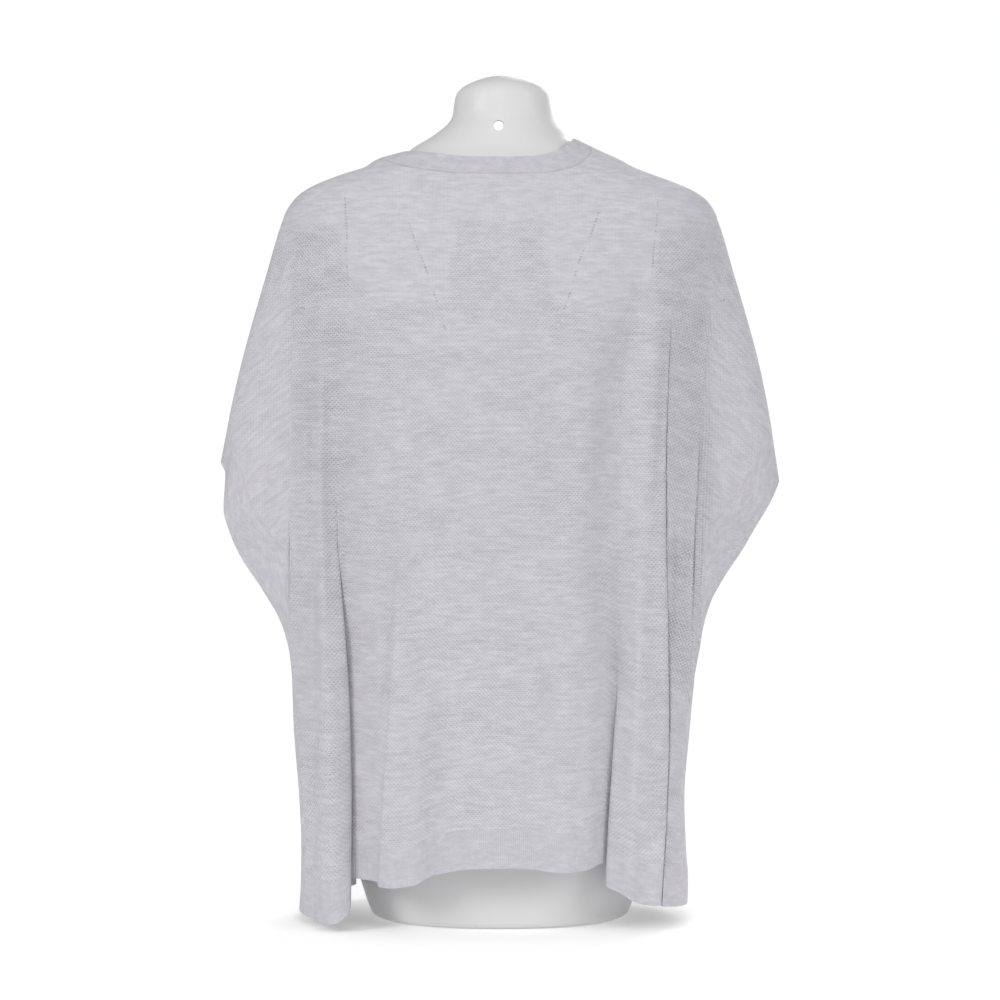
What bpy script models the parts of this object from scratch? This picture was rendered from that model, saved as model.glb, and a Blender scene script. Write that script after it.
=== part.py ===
# A wide batwing pullover of fine knit, hanging from the shoulders of a limbless dress form.
# Metres, +Z up. The wearer's back faces -Y and the right sleeve, seen from behind, points to +X.
# The origin is the middle of the form's flat base, on the surface that the form stands on.
#
# Every point of the cloth is named by its side (back or front), by how far it lies across from the
# middle before the folds draw it in, and by its height. The tables below turn that into a place.

import math

import bmesh
import bpy
from mathutils import Vector

WALL = 0.0018             # thickness of the knitted cloth
SEAM_GAP = 0.0004         # clearance between two pieces at a seam
NECKBAND_DROP = (0.018, 0.0055)  # how much lower its seam lies: at centre back, on the shoulder line
HEM_BAND_WIDTH = 0.038
LEAST_SHARE = 0.45        # a fold never draws the cloth in to less than this share of its depth
SHOULDER_HEIGHT = 0.712   # where the shoulder line turns down into the overarm fold
FOLD_HEIGHTS = (0.62, 0.35, 0.02)  # where a fold's upper, middle and lower places are given

BACK, FRONT = -1, 1
LEFT, RIGHT = -1, 1
SIDE_NAMES = {BACK: "back", FRONT: "front"}
HAND_NAMES = {LEFT: "left", RIGHT: "right"}


def table(names, *rows):
    """The columns of a table, by name."""
    return dict(zip(names.split(), zip(*rows)))


# How far the cloth reaches to each hand: down the shoulder line and the overarm fold, on as the
# sleeve would run past its cuff, in to the underarm, and down the side seam.
REACH = table(
    "height  left    right",
    (0.000, 0.2010, 0.1865),
    (0.040, 0.1985, 0.1875),
    (0.070, 0.1982, 0.1856),
    (0.120, 0.2002, 0.1840),
    (0.186, 0.2055, 0.1890),
    (0.236, 0.2077, 0.1940),
    (0.276, 0.2115, 0.2010),
    (0.2885, 0.2130, 0.2028),
    (0.3000, 0.2225, 0.2040),
    (0.309, 0.2300, 0.2055),
    (0.3200, 0.2395, 0.2150),
    (0.338, 0.2540, 0.2290),
    (0.360, 0.2690, 0.2440),
    (0.400, 0.2830, 0.2680),
    (0.436, 0.2820, 0.2790),
    (0.455, 0.2790, 0.2765),
    (0.538, 0.2620, 0.2620),
    (0.643, 0.2330, 0.2335),
    (0.698, 0.2160, 0.2165),
    (0.712, 0.2080, 0.2085),
    (0.721, 0.1990, 0.1970),
    (0.729, 0.1850, 0.1800),
    (0.739, 0.1590, 0.1530),
    (0.746, 0.1370, 0.1350),
    (0.754, 0.1243, 0.1205),
    (0.7605, 0.1010, 0.1060),
    (0.7735, 0.0700, 0.0785),
)

# The body of the garment: half its depth at the middle of the back and of the front, and how far
# its rounded sides stand from the middle, inside the sleeves.
BODY = table(
    "height  back    front   left    right",
    (0.000, 0.1320, 0.1330, 0.2100, 0.2050),
    (0.120, 0.1290, 0.1325, 0.2100, 0.2050),
    (0.236, 0.1265, 0.1320, 0.2065, 0.1915),
    (0.300, 0.1250, 0.1320, 0.2035, 0.1910),
    (0.400, 0.1235, 0.1320, 0.2000, 0.1945),
    (0.500, 0.1220, 0.1310, 0.2005, 0.1985),
    (0.600, 0.1155, 0.1160, 0.2035, 0.2045),
    (0.650, 0.1080, 0.0970, 0.2065, 0.2085),
    (0.690, 0.0980, 0.0790, 0.2110, 0.2120),
    (0.715, 0.0890, 0.0670, 0.2300, 0.2300),
    (0.735, 0.0790, 0.0590, 0.2300, 0.2300),
    (0.750, 0.0705, 0.0540, 0.2300, 0.2300),
    (0.7605, 0.0650, 0.0510, 0.2300, 0.2300),
    (0.7735, 0.0600, 0.0480, 0.2300, 0.2300),
)
BODY_ROUNDING = (2.8, 2.2)

# Half the thickness of a sleeve, which hangs flat and empty from the overarm fold.
SLEEVE = table(
    "height  depth",
    (0.000, 0.012),
    (0.236, 0.015),
    (0.309, 0.019),
    (0.450, 0.022),
    (0.600, 0.020),
    (0.700, 0.013),
    (0.775, 0.012),
)
SLEEVE_ROUNDING = 12

# The heights of the neckline, from the left shoulder line (-1) to the right one (1).
NECKLINE = table(
    "along   back    front",
    (-1.00, 0.7605, 0.7605),
    (-0.75, 0.7578, 0.7460),
    (-0.50, 0.7545, 0.7220),
    (-0.25, 0.7507, 0.7080),
    (0.00, 0.7500, 0.7040),
    (0.25, 0.7508, 0.7090),
    (0.40, 0.7543, 0.7170),
    (0.55, 0.7590, 0.7290),
    (0.70, 0.7657, 0.7450),
    (0.87, 0.7710, 0.7640),
    (1.00, 0.7735, 0.7735),
)

# The heights of the bottom edge, which hangs lowest in the lobes below the two side seams.
HEM = table(
    "across  back    front",
    (-0.2010, 0.0100, 0.0100),
    (-0.1830, 0.0082, 0.0110),
    (-0.1650, 0.0092, 0.0160),
    (-0.1520, 0.0140, 0.0240),
    (-0.1435, 0.0300, 0.0310),
    (-0.1350, 0.0465, 0.0380),
    (-0.1060, 0.0462, 0.0500),
    (-0.0710, 0.0510, 0.0560),
    (-0.0450, 0.0640, 0.0600),
    (0.0200, 0.0650, 0.0610),
    (0.0750, 0.0575, 0.0570),
    (0.0980, 0.0600, 0.0500),
    (0.1080, 0.0500, 0.0450),
    (0.1220, 0.0370, 0.0370),
    (0.1400, 0.0290, 0.0280),
    (0.1865, 0.0165, 0.0165),
)

# The open edge of each sleeve, from the overarm corner down to the underarm, and the seam of its
# band, from the overarm fold down to the side seam.
CUFF_EDGE = {
    LEFT: table(
        "height  reach",
        (0.2885, 0.2130),
        (0.3270, 0.2350),
        (0.3625, 0.2580),
        (0.3840, 0.2676),
        (0.4080, 0.2740),
        (0.4415, 0.2720),
        (0.4550, 0.2790),
    ),
    RIGHT: table(
        "height  reach",
        (0.3090, 0.2055),
        (0.3380, 0.2210),
        (0.3680, 0.2410),
        (0.3890, 0.2530),
        (0.4150, 0.2690),
        (0.4360, 0.2790),
    ),
}
CUFF_SEAM = {
    LEFT: table(
        "height  reach",
        (0.2510, 0.2090),
        (0.3000, 0.2070),
        (0.3630, 0.2070),
        (0.3830, 0.2220),
        (0.4080, 0.2410),
        (0.4380, 0.2520),
        (0.4980, 0.2703),
    ),
    RIGHT: table(
        "height  reach",
        (0.2710, 0.2000),
        (0.3300, 0.1990),
        (0.3860, 0.2010),
        (0.3990, 0.2100),
        (0.4280, 0.2350),
        (0.4580, 0.2517),
        (0.4870, 0.2715),
    ),
}

# The folds: where each one runs at the three FOLD_HEIGHTS, the heights at which it starts and is
# fully formed, how far it draws the cloth in, and half its width.
FOLDS = {
    BACK: table(
        "upper   middle  lower   start  full   depth  width",
        (-0.2030, -0.2035, -0.2000, 0.690, 0.600, 0.014, 0.009),  # left side of the body
        (-0.1580, -0.1500, -0.1420, 0.560, 0.240, 0.030, 0.013),  # inner side of the left lobe
        (-0.1280, -0.1270, -0.1270, 0.400, 0.120, 0.010, 0.020),  # hollow beside that lobe
        (-0.0700, -0.0680, -0.0660, 0.280, 0.120, 0.009, 0.017),
        (0.0900, 0.0900, 0.0880, 0.300, 0.150, 0.006, 0.014),
        (0.1220, 0.1170, 0.1040, 0.360, 0.100, 0.032, 0.015),  # inner side of the right lobe
        (0.1660, 0.1600, 0.1560, 0.690, 0.600, 0.020, 0.011),  # sharp fold from the shoulder
        (0.2060, 0.1950, 0.1850, 0.700, 0.620, 0.014, 0.009),  # right side of the body
    ),
    FRONT: table(
        "upper   middle  lower   start  full   depth  width",
        (-0.2030, -0.2035, -0.2000, 0.690, 0.600, 0.012, 0.009),
        (-0.1620, -0.1560, -0.1500, 0.600, 0.300, 0.022, 0.014),
        (-0.1180, -0.1160, -0.1120, 0.420, 0.120, 0.024, 0.017),
        (-0.0300, -0.0330, -0.0360, 0.500, 0.160, 0.010, 0.022),
        (0.0580, 0.0600, 0.0640, 0.460, 0.140, 0.013, 0.020),
        (0.1260, 0.1240, 0.1200, 0.480, 0.140, 0.026, 0.016),
        (0.1680, 0.1620, 0.1580, 0.660, 0.420, 0.018, 0.012),
        (0.2060, 0.1950, 0.1850, 0.700, 0.620, 0.012, 0.009),
    ),
}

# The rows of the panels: heights at the left edge, at the middle and at the right edge. The first
# row follows the neckband's seam and the last one the hem band's.
ROWS = table(
    "left    middle  right",
    (0.7450, 0.7200, 0.7450),
    (0.7380, 0.7060, 0.7370),
    (0.7310, 0.6900, 0.7290),
    (0.7220, 0.6720, 0.7210),
    (0.7100, 0.6520, 0.7100),
    (0.6930, 0.6300, 0.6930),
    (0.6670, 0.6060, 0.6670),
    (0.6330, 0.5800, 0.6330),
    (0.5930, 0.5520, 0.5930),
    (0.5480, 0.5220, 0.5440),
    (0.4980, 0.4960, 0.4870),
    (0.4940, 0.4740, 0.4830),
    (0.4830, 0.4500, 0.4730),
    (0.4560, 0.4240, 0.4460),
    (0.4240, 0.3980, 0.4140),
    (0.3920, 0.3720, 0.3850),
    (0.3630, 0.3460, 0.3560),
    (0.3270, 0.3200, 0.3270),
    (0.2900, 0.2940, 0.3020),
    (0.2680, 0.2680, 0.2850),
    (0.2510, 0.2420, 0.2710),
    (0.2150, 0.2120, 0.2220),
    (0.1720, 0.1820, 0.1750),
    (0.1300, 0.1520, 0.1320),
    (0.0880, 0.1240, 0.0920),
)
CUFF_ROWS = range(11, 22)  # the panels' rows, counted from the neck, that end on the cuff's seam
ROW_BEND = 2.5            # how late a row leaves its middle height for its edge height
COLUMNS = {               # how many columns lie between the edges, the folds and the middle
    BACK: (3, 3, 3, 4, 5, 5, 3, 3, 3, 3),
    FRONT: (3, 3, 3, 5, 3, 4, 4, 3, 3, 3),
}
BAND_ROWS = 2             # of each cuff
CUFF_CLEAR = 0.014        # the share of a cuff's width that is left open at its seam
STRIP = 0.007             # the least width of the strip outside the fold at the body's side

# The dress form's sections: how far it reaches to the left and right, its depth behind and before
# the middle, and its squareness (2 is an ellipse). Its shoulders fill the cloth that hangs on them.
FORM = table(
    "height  left    right   back    front   square",
    (0.0000, 0.1180, 0.1180, 0.0760, 0.0720, 2.2),
    (0.0040, 0.1265, 0.1265, 0.0840, 0.0800, 2.2),
    (0.0140, 0.1315, 0.1315, 0.0880, 0.0840, 2.2),
    (0.0600, 0.1450, 0.1450, 0.0950, 0.0880, 2.2),
    (0.1200, 0.1560, 0.1560, 0.1010, 0.0910, 2.2),
    (0.1800, 0.1600, 0.1600, 0.1030, 0.0930, 2.2),
    (0.2400, 0.1540, 0.1540, 0.0950, 0.0910, 2.2),
    (0.3100, 0.1340, 0.1340, 0.0780, 0.0840, 2.2),
    (0.3750, 0.1190, 0.1190, 0.0670, 0.0790, 2.2),
    (0.4400, 0.1270, 0.1270, 0.0730, 0.0870, 2.3),
    (0.4900, 0.1380, 0.1380, 0.0830, 0.1010, 2.4),
    (0.5400, 0.1490, 0.1490, 0.0940, 0.1170, 2.5),
    (0.5900, 0.1600, 0.1600, 0.1040, 0.1080, 2.6),
    (0.6250, 0.1740, 0.1740, 0.1060, 0.0970, 2.7),
    (0.6550, 0.1900, 0.1900, 0.1030, 0.0880, 2.8),
    (0.6800, 0.2000, 0.2000, 0.0970, 0.0795, 2.8),
    (0.6980, 0.2040, 0.2040, 0.0913, 0.0712, 2.8),
    (0.7080, 0.2030, 0.2030, 0.0876, 0.0662, 2.8),
    (0.7140, 0.2000, 0.2000, 0.0852, 0.0636, 2.8),
    (0.7190, 0.1955, 0.1935, 0.0830, 0.0616, 2.8),
    (0.7270, 0.1820, 0.1768, 0.0790, 0.0584, 2.8),
    (0.7350, 0.1605, 0.1548, 0.0748, 0.0552, 2.8),
    (0.7430, 0.1365, 0.1340, 0.0699, 0.0527, 2.8),
    (0.7510, 0.1228, 0.1190, 0.0656, 0.0499, 2.8),
    (0.7595, 0.0975, 0.1010, 0.0611, 0.0480, 2.6),
    (0.7680, 0.0855, 0.0825, 0.0580, 0.0474, 2.4),
    (0.7760, 0.0720, 0.0705, 0.0550, 0.0475, 2.2),
    (0.7830, 0.0620, 0.0656, 0.0525, 0.0480, 2.1),
    (0.7920, 0.0518, 0.0582, 0.0493, 0.0486, 2.0),
    (0.8000, 0.0474, 0.0545, 0.0475, 0.0490, 2.0),
    (0.8100, 0.0460, 0.0522, 0.0463, 0.0482, 2.0),
    (0.8200, 0.0440, 0.0502, 0.0443, 0.0464, 2.0),
    (0.8274, 0.0378, 0.0445, 0.0390, 0.0412, 2.0),
    (0.8330, 0.0272, 0.0330, 0.0285, 0.0305, 2.0),
    (0.8368, 0.0170, 0.0200, 0.0175, 0.0190, 2.0),
)
FORM_TOP = 0.8395
FORM_SIDES = 40
HANGING_HOLE = {"radius": 0.005, "height": 0.7905, "across": -0.0014, "tilt": 8.0, "sides": 20}

MATERIALS = {  # base colour, roughness
    "knit": ((0.60, 0.59, 0.62), 0.92),
    "plain_knit": ((0.62, 0.61, 0.64), 0.92),
    "white_plastic": ((0.80, 0.80, 0.80), 0.35),
}


def read(columns, name, at):
    """A column's value at a place in the table's first column, on a curve that never overshoots."""
    places = next(iter(columns.values()))
    values = columns[name]
    if at <= places[0]:
        return values[0]
    if at >= places[-1]:
        return values[-1]
    k = max(i for i, place in enumerate(places[:-1]) if place <= at)
    span = places[k + 1] - places[k]
    t = (at - places[k]) / span
    start, end = (slope(places, values, i) * span for i in (k, k + 1))
    return (
        values[k] * (1 + 2 * t) * (1 - t) ** 2
        + start * t * (1 - t) ** 2
        + values[k + 1] * t * t * (3 - 2 * t)
        - end * t * t * (1 - t)
    )


def slope(places, values, i):
    """The slope at a row of a table: none at a turning point, else between its neighbours'."""
    before = (values[i] - values[i - 1]) / (places[i] - places[i - 1]) if i else None
    if i == len(places) - 1:
        return before
    after = (values[i + 1] - values[i]) / (places[i + 1] - places[i])
    if before is None:
        return after
    if before * after <= 0:
        return 0.0
    return 2 * before * after / (before + after)


def ease(t):
    t = min(max(t, 0.0), 1.0)
    return t * t * (3 - 2 * t)


def reach(hand, height):
    return read(REACH, HAND_NAMES[hand], height)


def panel_edge(hand, height):
    """How far a panel reaches: to the shoulder line, the cuff's seam or the side seam."""
    seam = CUFF_SEAM[hand]
    if seam["height"][0] < height < seam["height"][-1]:
        return min(reach(hand, height), read(seam, "reach", height))
    return reach(hand, height)


def fold_line(side, k, height):
    """How far across fold k runs at a height: a parabola through its three places."""
    folds = FOLDS[side]
    upper, middle, lower = (folds[name][k] for name in ("upper", "middle", "lower"))
    top, mid, low = FOLD_HEIGHTS
    z = min(max(height, low), top)
    line = (
        upper * (z - mid) * (z - low) / ((top - mid) * (top - low))
        + middle * (z - top) * (z - low) / ((mid - top) * (mid - low))
        + lower * (z - top) * (z - mid) / ((low - top) * (low - mid))
    )
    hand = LEFT if line < 0 else RIGHT
    if height > SHOULDER_HEIGHT:
        line *= reach(hand, height) / reach(hand, SHOULDER_HEIGHT)
    return line


def depth(side, across, height):
    """How far the cloth lies from the plane between back and front, before it folds."""
    hand = LEFT if across < 0 else RIGHT
    limit = reach(hand, height)
    body_half = min(limit, read(BODY, HAND_NAMES[hand], height))
    body_depth = read(BODY, SIDE_NAMES[side], height)
    across_power, depth_power = BODY_ROUNDING
    inside = max(0.0, 1 - (abs(across) / body_half) ** across_power)
    body = body_depth * inside ** (1 / depth_power)
    flat = max(0.0, 1 - (abs(across) / limit) ** SLEEVE_ROUNDING)
    sleeve = read(SLEEVE, "depth", height) * math.sqrt(flat)
    return (body**3 + sleeve**3) ** (1 / 3)


def drawn_in(side, across, height):
    """How far the folds draw the cloth in."""
    folds = FOLDS[side]
    total = 0.0
    for k, full_depth in enumerate(folds["depth"]):
        start, full = folds["start"][k], folds["full"][k]
        if height < start:
            off = (across - fold_line(side, k, height)) / folds["width"][k]
            total += full_depth * ease((start - height) / (start - full)) * math.exp(-off * off)
    return total


def cloth(side, across, height):
    """The outer face of the cloth."""
    plain = depth(side, across, height)
    if plain == 0:
        return Vector((across, 0, height))
    rest = 1 - LEAST_SHARE
    share = LEAST_SHARE + rest * math.exp(-drawn_in(side, across, height) / (plain * rest))
    return Vector((across, side * plain * share, height))


def inward(side, across, height, hand=None):
    """The direction from the outer face into the wall; hand is given on a shoulder line or a fold."""
    step = 0.003
    up = cloth(side, across, height + step) - cloth(side, across, height - step)
    if hand:
        up.x = hand * (reach(hand, height + step) - reach(hand, height - step))
        up.y = 0.0
        along = Vector((0, -hand * side, 0))
    else:
        room = reach(LEFT if across < 0 else RIGHT, height) - abs(across)
        step = min(step, max(0.4 * room, 0.0002))
        along = cloth(side, across + step, height) - cloth(side, across - step, height)
    return side * along.cross(up).normalized()


def sheet_point(side, across, height, hand=None):
    """A point of the cloth and the direction into its wall, on the seam if a hand is given."""
    point = cloth(side, across, height)
    if hand:
        point.y = side * SEAM_GAP / 2
    return point, inward(side, across, height, hand)


def neckline_height(side, along):
    return read(NECKLINE, SIDE_NAMES[side], along)


def neckband_seam(side, along):
    steep, flat = NECKBAND_DROP
    return neckline_height(side, along) - steep + (steep - flat) * abs(along) ** 3


def hem_height(side, across):
    return read(HEM, SIDE_NAMES[side], across)


def column_lines(side, height):
    """How far across every column of a panel runs at a height, with the folds on columns."""
    edges = {hand: panel_edge(hand, height) for hand in (LEFT, RIGHT)}
    inner = [fold_line(side, k, height) for k in range(len(FOLDS[side]["depth"]))]
    inner[0] = max(inner[0], STRIP - edges[LEFT])
    inner[-1] = min(inner[-1], edges[RIGHT] - STRIP)
    inner.append(0.0)
    marks = [-edges[LEFT], *sorted(inner), edges[RIGHT]]
    lines = [marks[0]]
    for k, count in enumerate(COLUMNS[side]):
        low, high = marks[k], marks[k + 1]
        for n in range(1, count + 1):
            t = n / count
            if k == 0:
                t = 1 - math.cos(t * math.pi / 2)
            if k == len(COLUMNS[side]) - 1:
                t = math.sin(t * math.pi / 2)
            lines.append(low + (high - low) * t)
    return lines


def row_height(side, row, column):
    """The height of a panel's row at a column."""
    at_shoulder = column_lines(side, SHOULDER_HEIGHT)[column]
    hand = LEFT if at_shoulder < 0 else RIGHT
    along = at_shoulder / reach(hand, SHOULDER_HEIGHT)
    if row == 0:
        return neckband_seam(side, along)
    if row > len(ROWS["middle"]):
        return hem_height(side, column_lines(side, 0.05)[column]) + HEM_BAND_WIDTH
    edge, middle = ROWS[HAND_NAMES[hand]][row - 1], ROWS["middle"][row - 1]
    if side == FRONT:
        middle = min(middle, neckline_height(FRONT, 0) - 0.022 - 0.0165 * row)
        middle = max(middle, ROWS["middle"][row - 1] - 0.06)
    return middle + (edge - middle) * abs(along) ** ROW_BEND


def empty_scene():
    for thing in list(bpy.data.objects):
        bpy.data.objects.remove(thing, do_unlink=True)


def material(name):
    found = bpy.data.materials.get(name)
    if found:
        return found
    colour, roughness = MATERIALS[name]
    made = bpy.data.materials.new(name)
    made.use_nodes = True
    shader = made.node_tree.nodes["Principled BSDF"]
    shader.inputs["Base Color"].default_value = (*colour, 1.0)
    shader.inputs["Roughness"].default_value = roughness
    made.diffuse_color = (*colour, 1.0)
    return made


def finish(name, bm, surface):
    """Turns a bmesh into a named object with its own material."""
    bmesh.ops.recalc_face_normals(bm, faces=bm.faces[:])
    if bm.calc_volume(signed=True) < 0:
        bmesh.ops.reverse_faces(bm, faces=bm.faces[:])
    mesh = bpy.data.meshes.new(name)
    bm.to_mesh(mesh)
    bm.free()
    mesh.shade_smooth()
    made = bpy.data.objects.new(name, mesh)
    made.data.materials.append(material(surface))
    bpy.context.scene.collection.objects.link(made)
    return made


def wall(name, columns, rows, place, surface, closed=False):
    """A wall of cloth on a grid. place(i, j) gives a point and the direction into its wall."""
    bm = bmesh.new()
    bmesh.ops.create_grid(bm, x_segments=columns, y_segments=rows, size=0.5)
    column_of = bm.verts.layers.int.new("column")
    row_of = bm.verts.layers.int.new("row")
    for v in bm.verts:
        v[column_of] = round((v.co.x + 0.5) * columns)
        v[row_of] = round((v.co.y + 0.5) * rows)
    if closed:
        first = {v[row_of]: v for v in bm.verts if v[column_of] == 0}
        last = {v: first[v[row_of]] for v in bm.verts if v[column_of] == columns}
        bmesh.ops.weld_verts(bm, targetmap=last)
    for v in bm.verts:
        v.co = place(v[column_of], v[row_of])[0]
    bmesh.ops.triangulate(bm, faces=bm.faces[:])
    bm.normal_update()
    into_wall = {}
    for v in bm.verts:
        direction = place(v[column_of], v[row_of])[1]
        if closed and rows > 1 and v[row_of] > 0:
            direction = v.normal * math.copysign(1, v.normal.dot(direction))
        into_wall[v[column_of], v[row_of]] = direction.copy()
    grown = bmesh.ops.extrude_face_region(bm, geom=bm.faces[:])["geom"]
    for v in [v for v in grown if isinstance(v, bmesh.types.BMVert)]:
        v.co += into_wall[v[column_of], v[row_of]] * WALL
    bmesh.ops.triangulate(bm, faces=bm.faces[:])
    return finish(name, bm, surface)


def make_panel(side, name):
    columns, last_row = sum(COLUMNS[side]), len(ROWS["middle"]) + 1

    def place(i, j):
        height = row_height(side, j, i)
        if j == 0:
            height -= SEAM_GAP / 2
        if j == last_row:
            height += SEAM_GAP / 2
        across = column_lines(side, height)[i]
        hand = {0: LEFT, columns: RIGHT}.get(i)
        if hand and j in CUFF_ROWS[1:-1]:
            return sheet_point(side, across - hand * SEAM_GAP / 2, height)
        return sheet_point(side, across, height, hand)

    return wall(name, columns, last_row, place, "knit")


def make_hem_band(side, name):
    columns, last_row = sum(COLUMNS[side]), len(ROWS["middle"]) + 1

    def place(i, j):
        top = row_height(side, last_row, i) - SEAM_GAP / 2
        height = top - (HEM_BAND_WIDTH - SEAM_GAP / 2) * j
        across = column_lines(side, height)[i]
        return sheet_point(side, across, height, {0: LEFT, columns: RIGHT}.get(i))

    return wall(name, columns, 1, place, "plain_knit")


def make_neckband():
    back, front = sum(COLUMNS[BACK]), sum(COLUMNS[FRONT])

    def place(i, j):
        i = i % (back + front)
        side = BACK if i <= back else FRONT
        column = i if side == BACK else back + front - i
        at_shoulder = column_lines(side, SHOULDER_HEIGHT)[column]
        hand = LEFT if at_shoulder < 0 else RIGHT
        along = at_shoulder / reach(hand, SHOULDER_HEIGHT)
        low = neckband_seam(side, along) + SEAM_GAP / 2
        height = low + (neckline_height(side, along) - low) * j
        across = column_lines(side, height)[column]
        if column in (0, sum(COLUMNS[side])):
            return cloth(side, across, height), inward(side, across, height, hand)
        return sheet_point(side, across, height)

    return wall("neckband", back + front, 1, place, "plain_knit", closed=True)


def make_cuff(hand, name):
    """A ring round the sleeve's opening: down its back half and up its front half."""
    half = len(CUFF_ROWS) - 1
    seam_heights = [ROWS[HAND_NAMES[hand]][row - 1] for row in CUFF_ROWS]
    edge_heights = CUFF_EDGE[hand]["height"]

    def place(i, j):
        i = i % (2 * half)
        side, station = (BACK, i) if i <= half else (FRONT, 2 * half - i)
        low = seam_heights[station]
        share = (seam_heights[0] - low) / (seam_heights[0] - seam_heights[-1])
        high = edge_heights[-1] + (edge_heights[0] - edge_heights[-1]) * share
        seam = cloth(side, hand * panel_edge(hand, low), low)
        edge = cloth(side, hand * read(CUFF_EDGE[hand], "reach", high), high)
        t = (j + CUFF_CLEAR * (BAND_ROWS - j)) / BAND_ROWS
        point = seam.lerp(edge, t)
        if station in (0, half):
            return point, inward(side, point.x, point.z, hand)
        return point, inward(side, point.x, point.z)

    return wall(name, 2 * half, BAND_ROWS, place, "plain_knit", closed=True)


def form_ring(row):
    """The points of one of the dress form's sections."""
    left, right, back, front, square = (
        FORM[name][row] for name in ("left", "right", "back", "front", "square")
    )
    depth_power = 2 + (square - 2) / 4
    points = []
    for k in range(FORM_SIDES):
        turn = 2 * math.pi * k / FORM_SIDES
        cosine, sine = math.cos(turn), math.sin(turn)
        x = math.copysign(abs(cosine) ** (2 / square), cosine) * (right if cosine > 0 else left)
        y = math.copysign(abs(sine) ** (2 / depth_power), sine) * (front if sine > 0 else back)
        points.append(Vector((x, y, FORM["height"][row])))
    return points


def make_dress_form():
    """Extruded upwards from its flat base, section by section, and closed with a low dome."""
    bm = bmesh.new()
    base = bmesh.ops.create_circle(bm, cap_ends=True, radius=1, segments=FORM_SIDES)
    ring = base["verts"]
    for v, point in zip(ring, form_ring(0)):
        v.co = point
    lid = bm.faces[:]
    for row in range(1, len(FORM["height"])):
        grown = bmesh.ops.extrude_face_region(bm, geom=lid)["geom"]
        if row > 1:
            bmesh.ops.delete(bm, geom=lid, context="FACES_ONLY")
        lid = [f for f in grown if isinstance(f, bmesh.types.BMFace)]
        below = form_ring(row - 1)
        points = form_ring(row)
        for v in [v for v in grown if isinstance(v, bmesh.types.BMVert)]:
            k = min(range(FORM_SIDES), key=lambda n: (below[n] - v.co).length)
            v.co = points[k]
    bmesh.ops.poke(bm, faces=lid)
    bm.verts.ensure_lookup_table()
    crown = max(bm.verts, key=lambda v: len(v.link_edges))
    crown.co.z = FORM_TOP
    form = finish("dress_form", bm, "white_plastic")
    hole = form.modifiers.new("hanging hole", "BOOLEAN")
    hole.operation = "DIFFERENCE"
    hole.object = make_hole_cutter()
    return form


def make_hole_cutter():
    """A round bar through the neck, rising towards the front."""
    bm = bmesh.new()
    bmesh.ops.create_cone(
        bm,
        cap_ends=True,
        segments=HANGING_HOLE["sides"],
        radius1=HANGING_HOLE["radius"],
        radius2=HANGING_HOLE["radius"],
        depth=0.16,
    )
    cutter = finish("hole_cutter", bm, "white_plastic")
    cutter.rotation_euler.x = math.radians(90 + HANGING_HOLE["tilt"])
    cutter.location = (HANGING_HOLE["across"], 0, HANGING_HOLE["height"])
    cutter.hide_render = True
    cutter.display_type = "WIRE"
    return cutter


empty_scene()
make_dress_form()
make_panel(BACK, "back_panel")
make_panel(FRONT, "front_panel")
make_hem_band(BACK, "hem_band_back")
make_hem_band(FRONT, "hem_band_front")
make_neckband()
make_cuff(LEFT, "cuff_left")
make_cuff(RIGHT, "cuff_right")
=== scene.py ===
import math

import bmesh
import bpy
import numpy as np
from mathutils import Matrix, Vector


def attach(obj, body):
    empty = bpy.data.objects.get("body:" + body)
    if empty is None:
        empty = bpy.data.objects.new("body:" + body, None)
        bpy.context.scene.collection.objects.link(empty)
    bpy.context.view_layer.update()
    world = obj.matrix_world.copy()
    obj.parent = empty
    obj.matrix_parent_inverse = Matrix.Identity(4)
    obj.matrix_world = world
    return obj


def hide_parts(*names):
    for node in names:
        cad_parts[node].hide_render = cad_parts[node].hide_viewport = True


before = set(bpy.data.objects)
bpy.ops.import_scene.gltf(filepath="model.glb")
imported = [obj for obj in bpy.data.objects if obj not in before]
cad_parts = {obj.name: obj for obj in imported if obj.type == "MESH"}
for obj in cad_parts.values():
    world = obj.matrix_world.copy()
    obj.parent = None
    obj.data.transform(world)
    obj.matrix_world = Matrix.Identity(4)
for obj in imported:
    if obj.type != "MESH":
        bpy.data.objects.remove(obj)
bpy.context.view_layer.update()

# A wide batwing pullover in light grey marl, on a limbless torso form. The wearer's back
# faces -Y and their right hand +X. Sizes are in metres. A point of the cloth is named by its
# side, by how far across it lies and by its height.

back, front = -1, 1
left, right = -1, 1
sideName = {back: "back", front: "front"}
handName = {left: "left", right: "right"}


def rowsOf(names, *rows):
    return dict(zip(names.split(), (np.array(column, float) for column in zip(*rows))))


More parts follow.
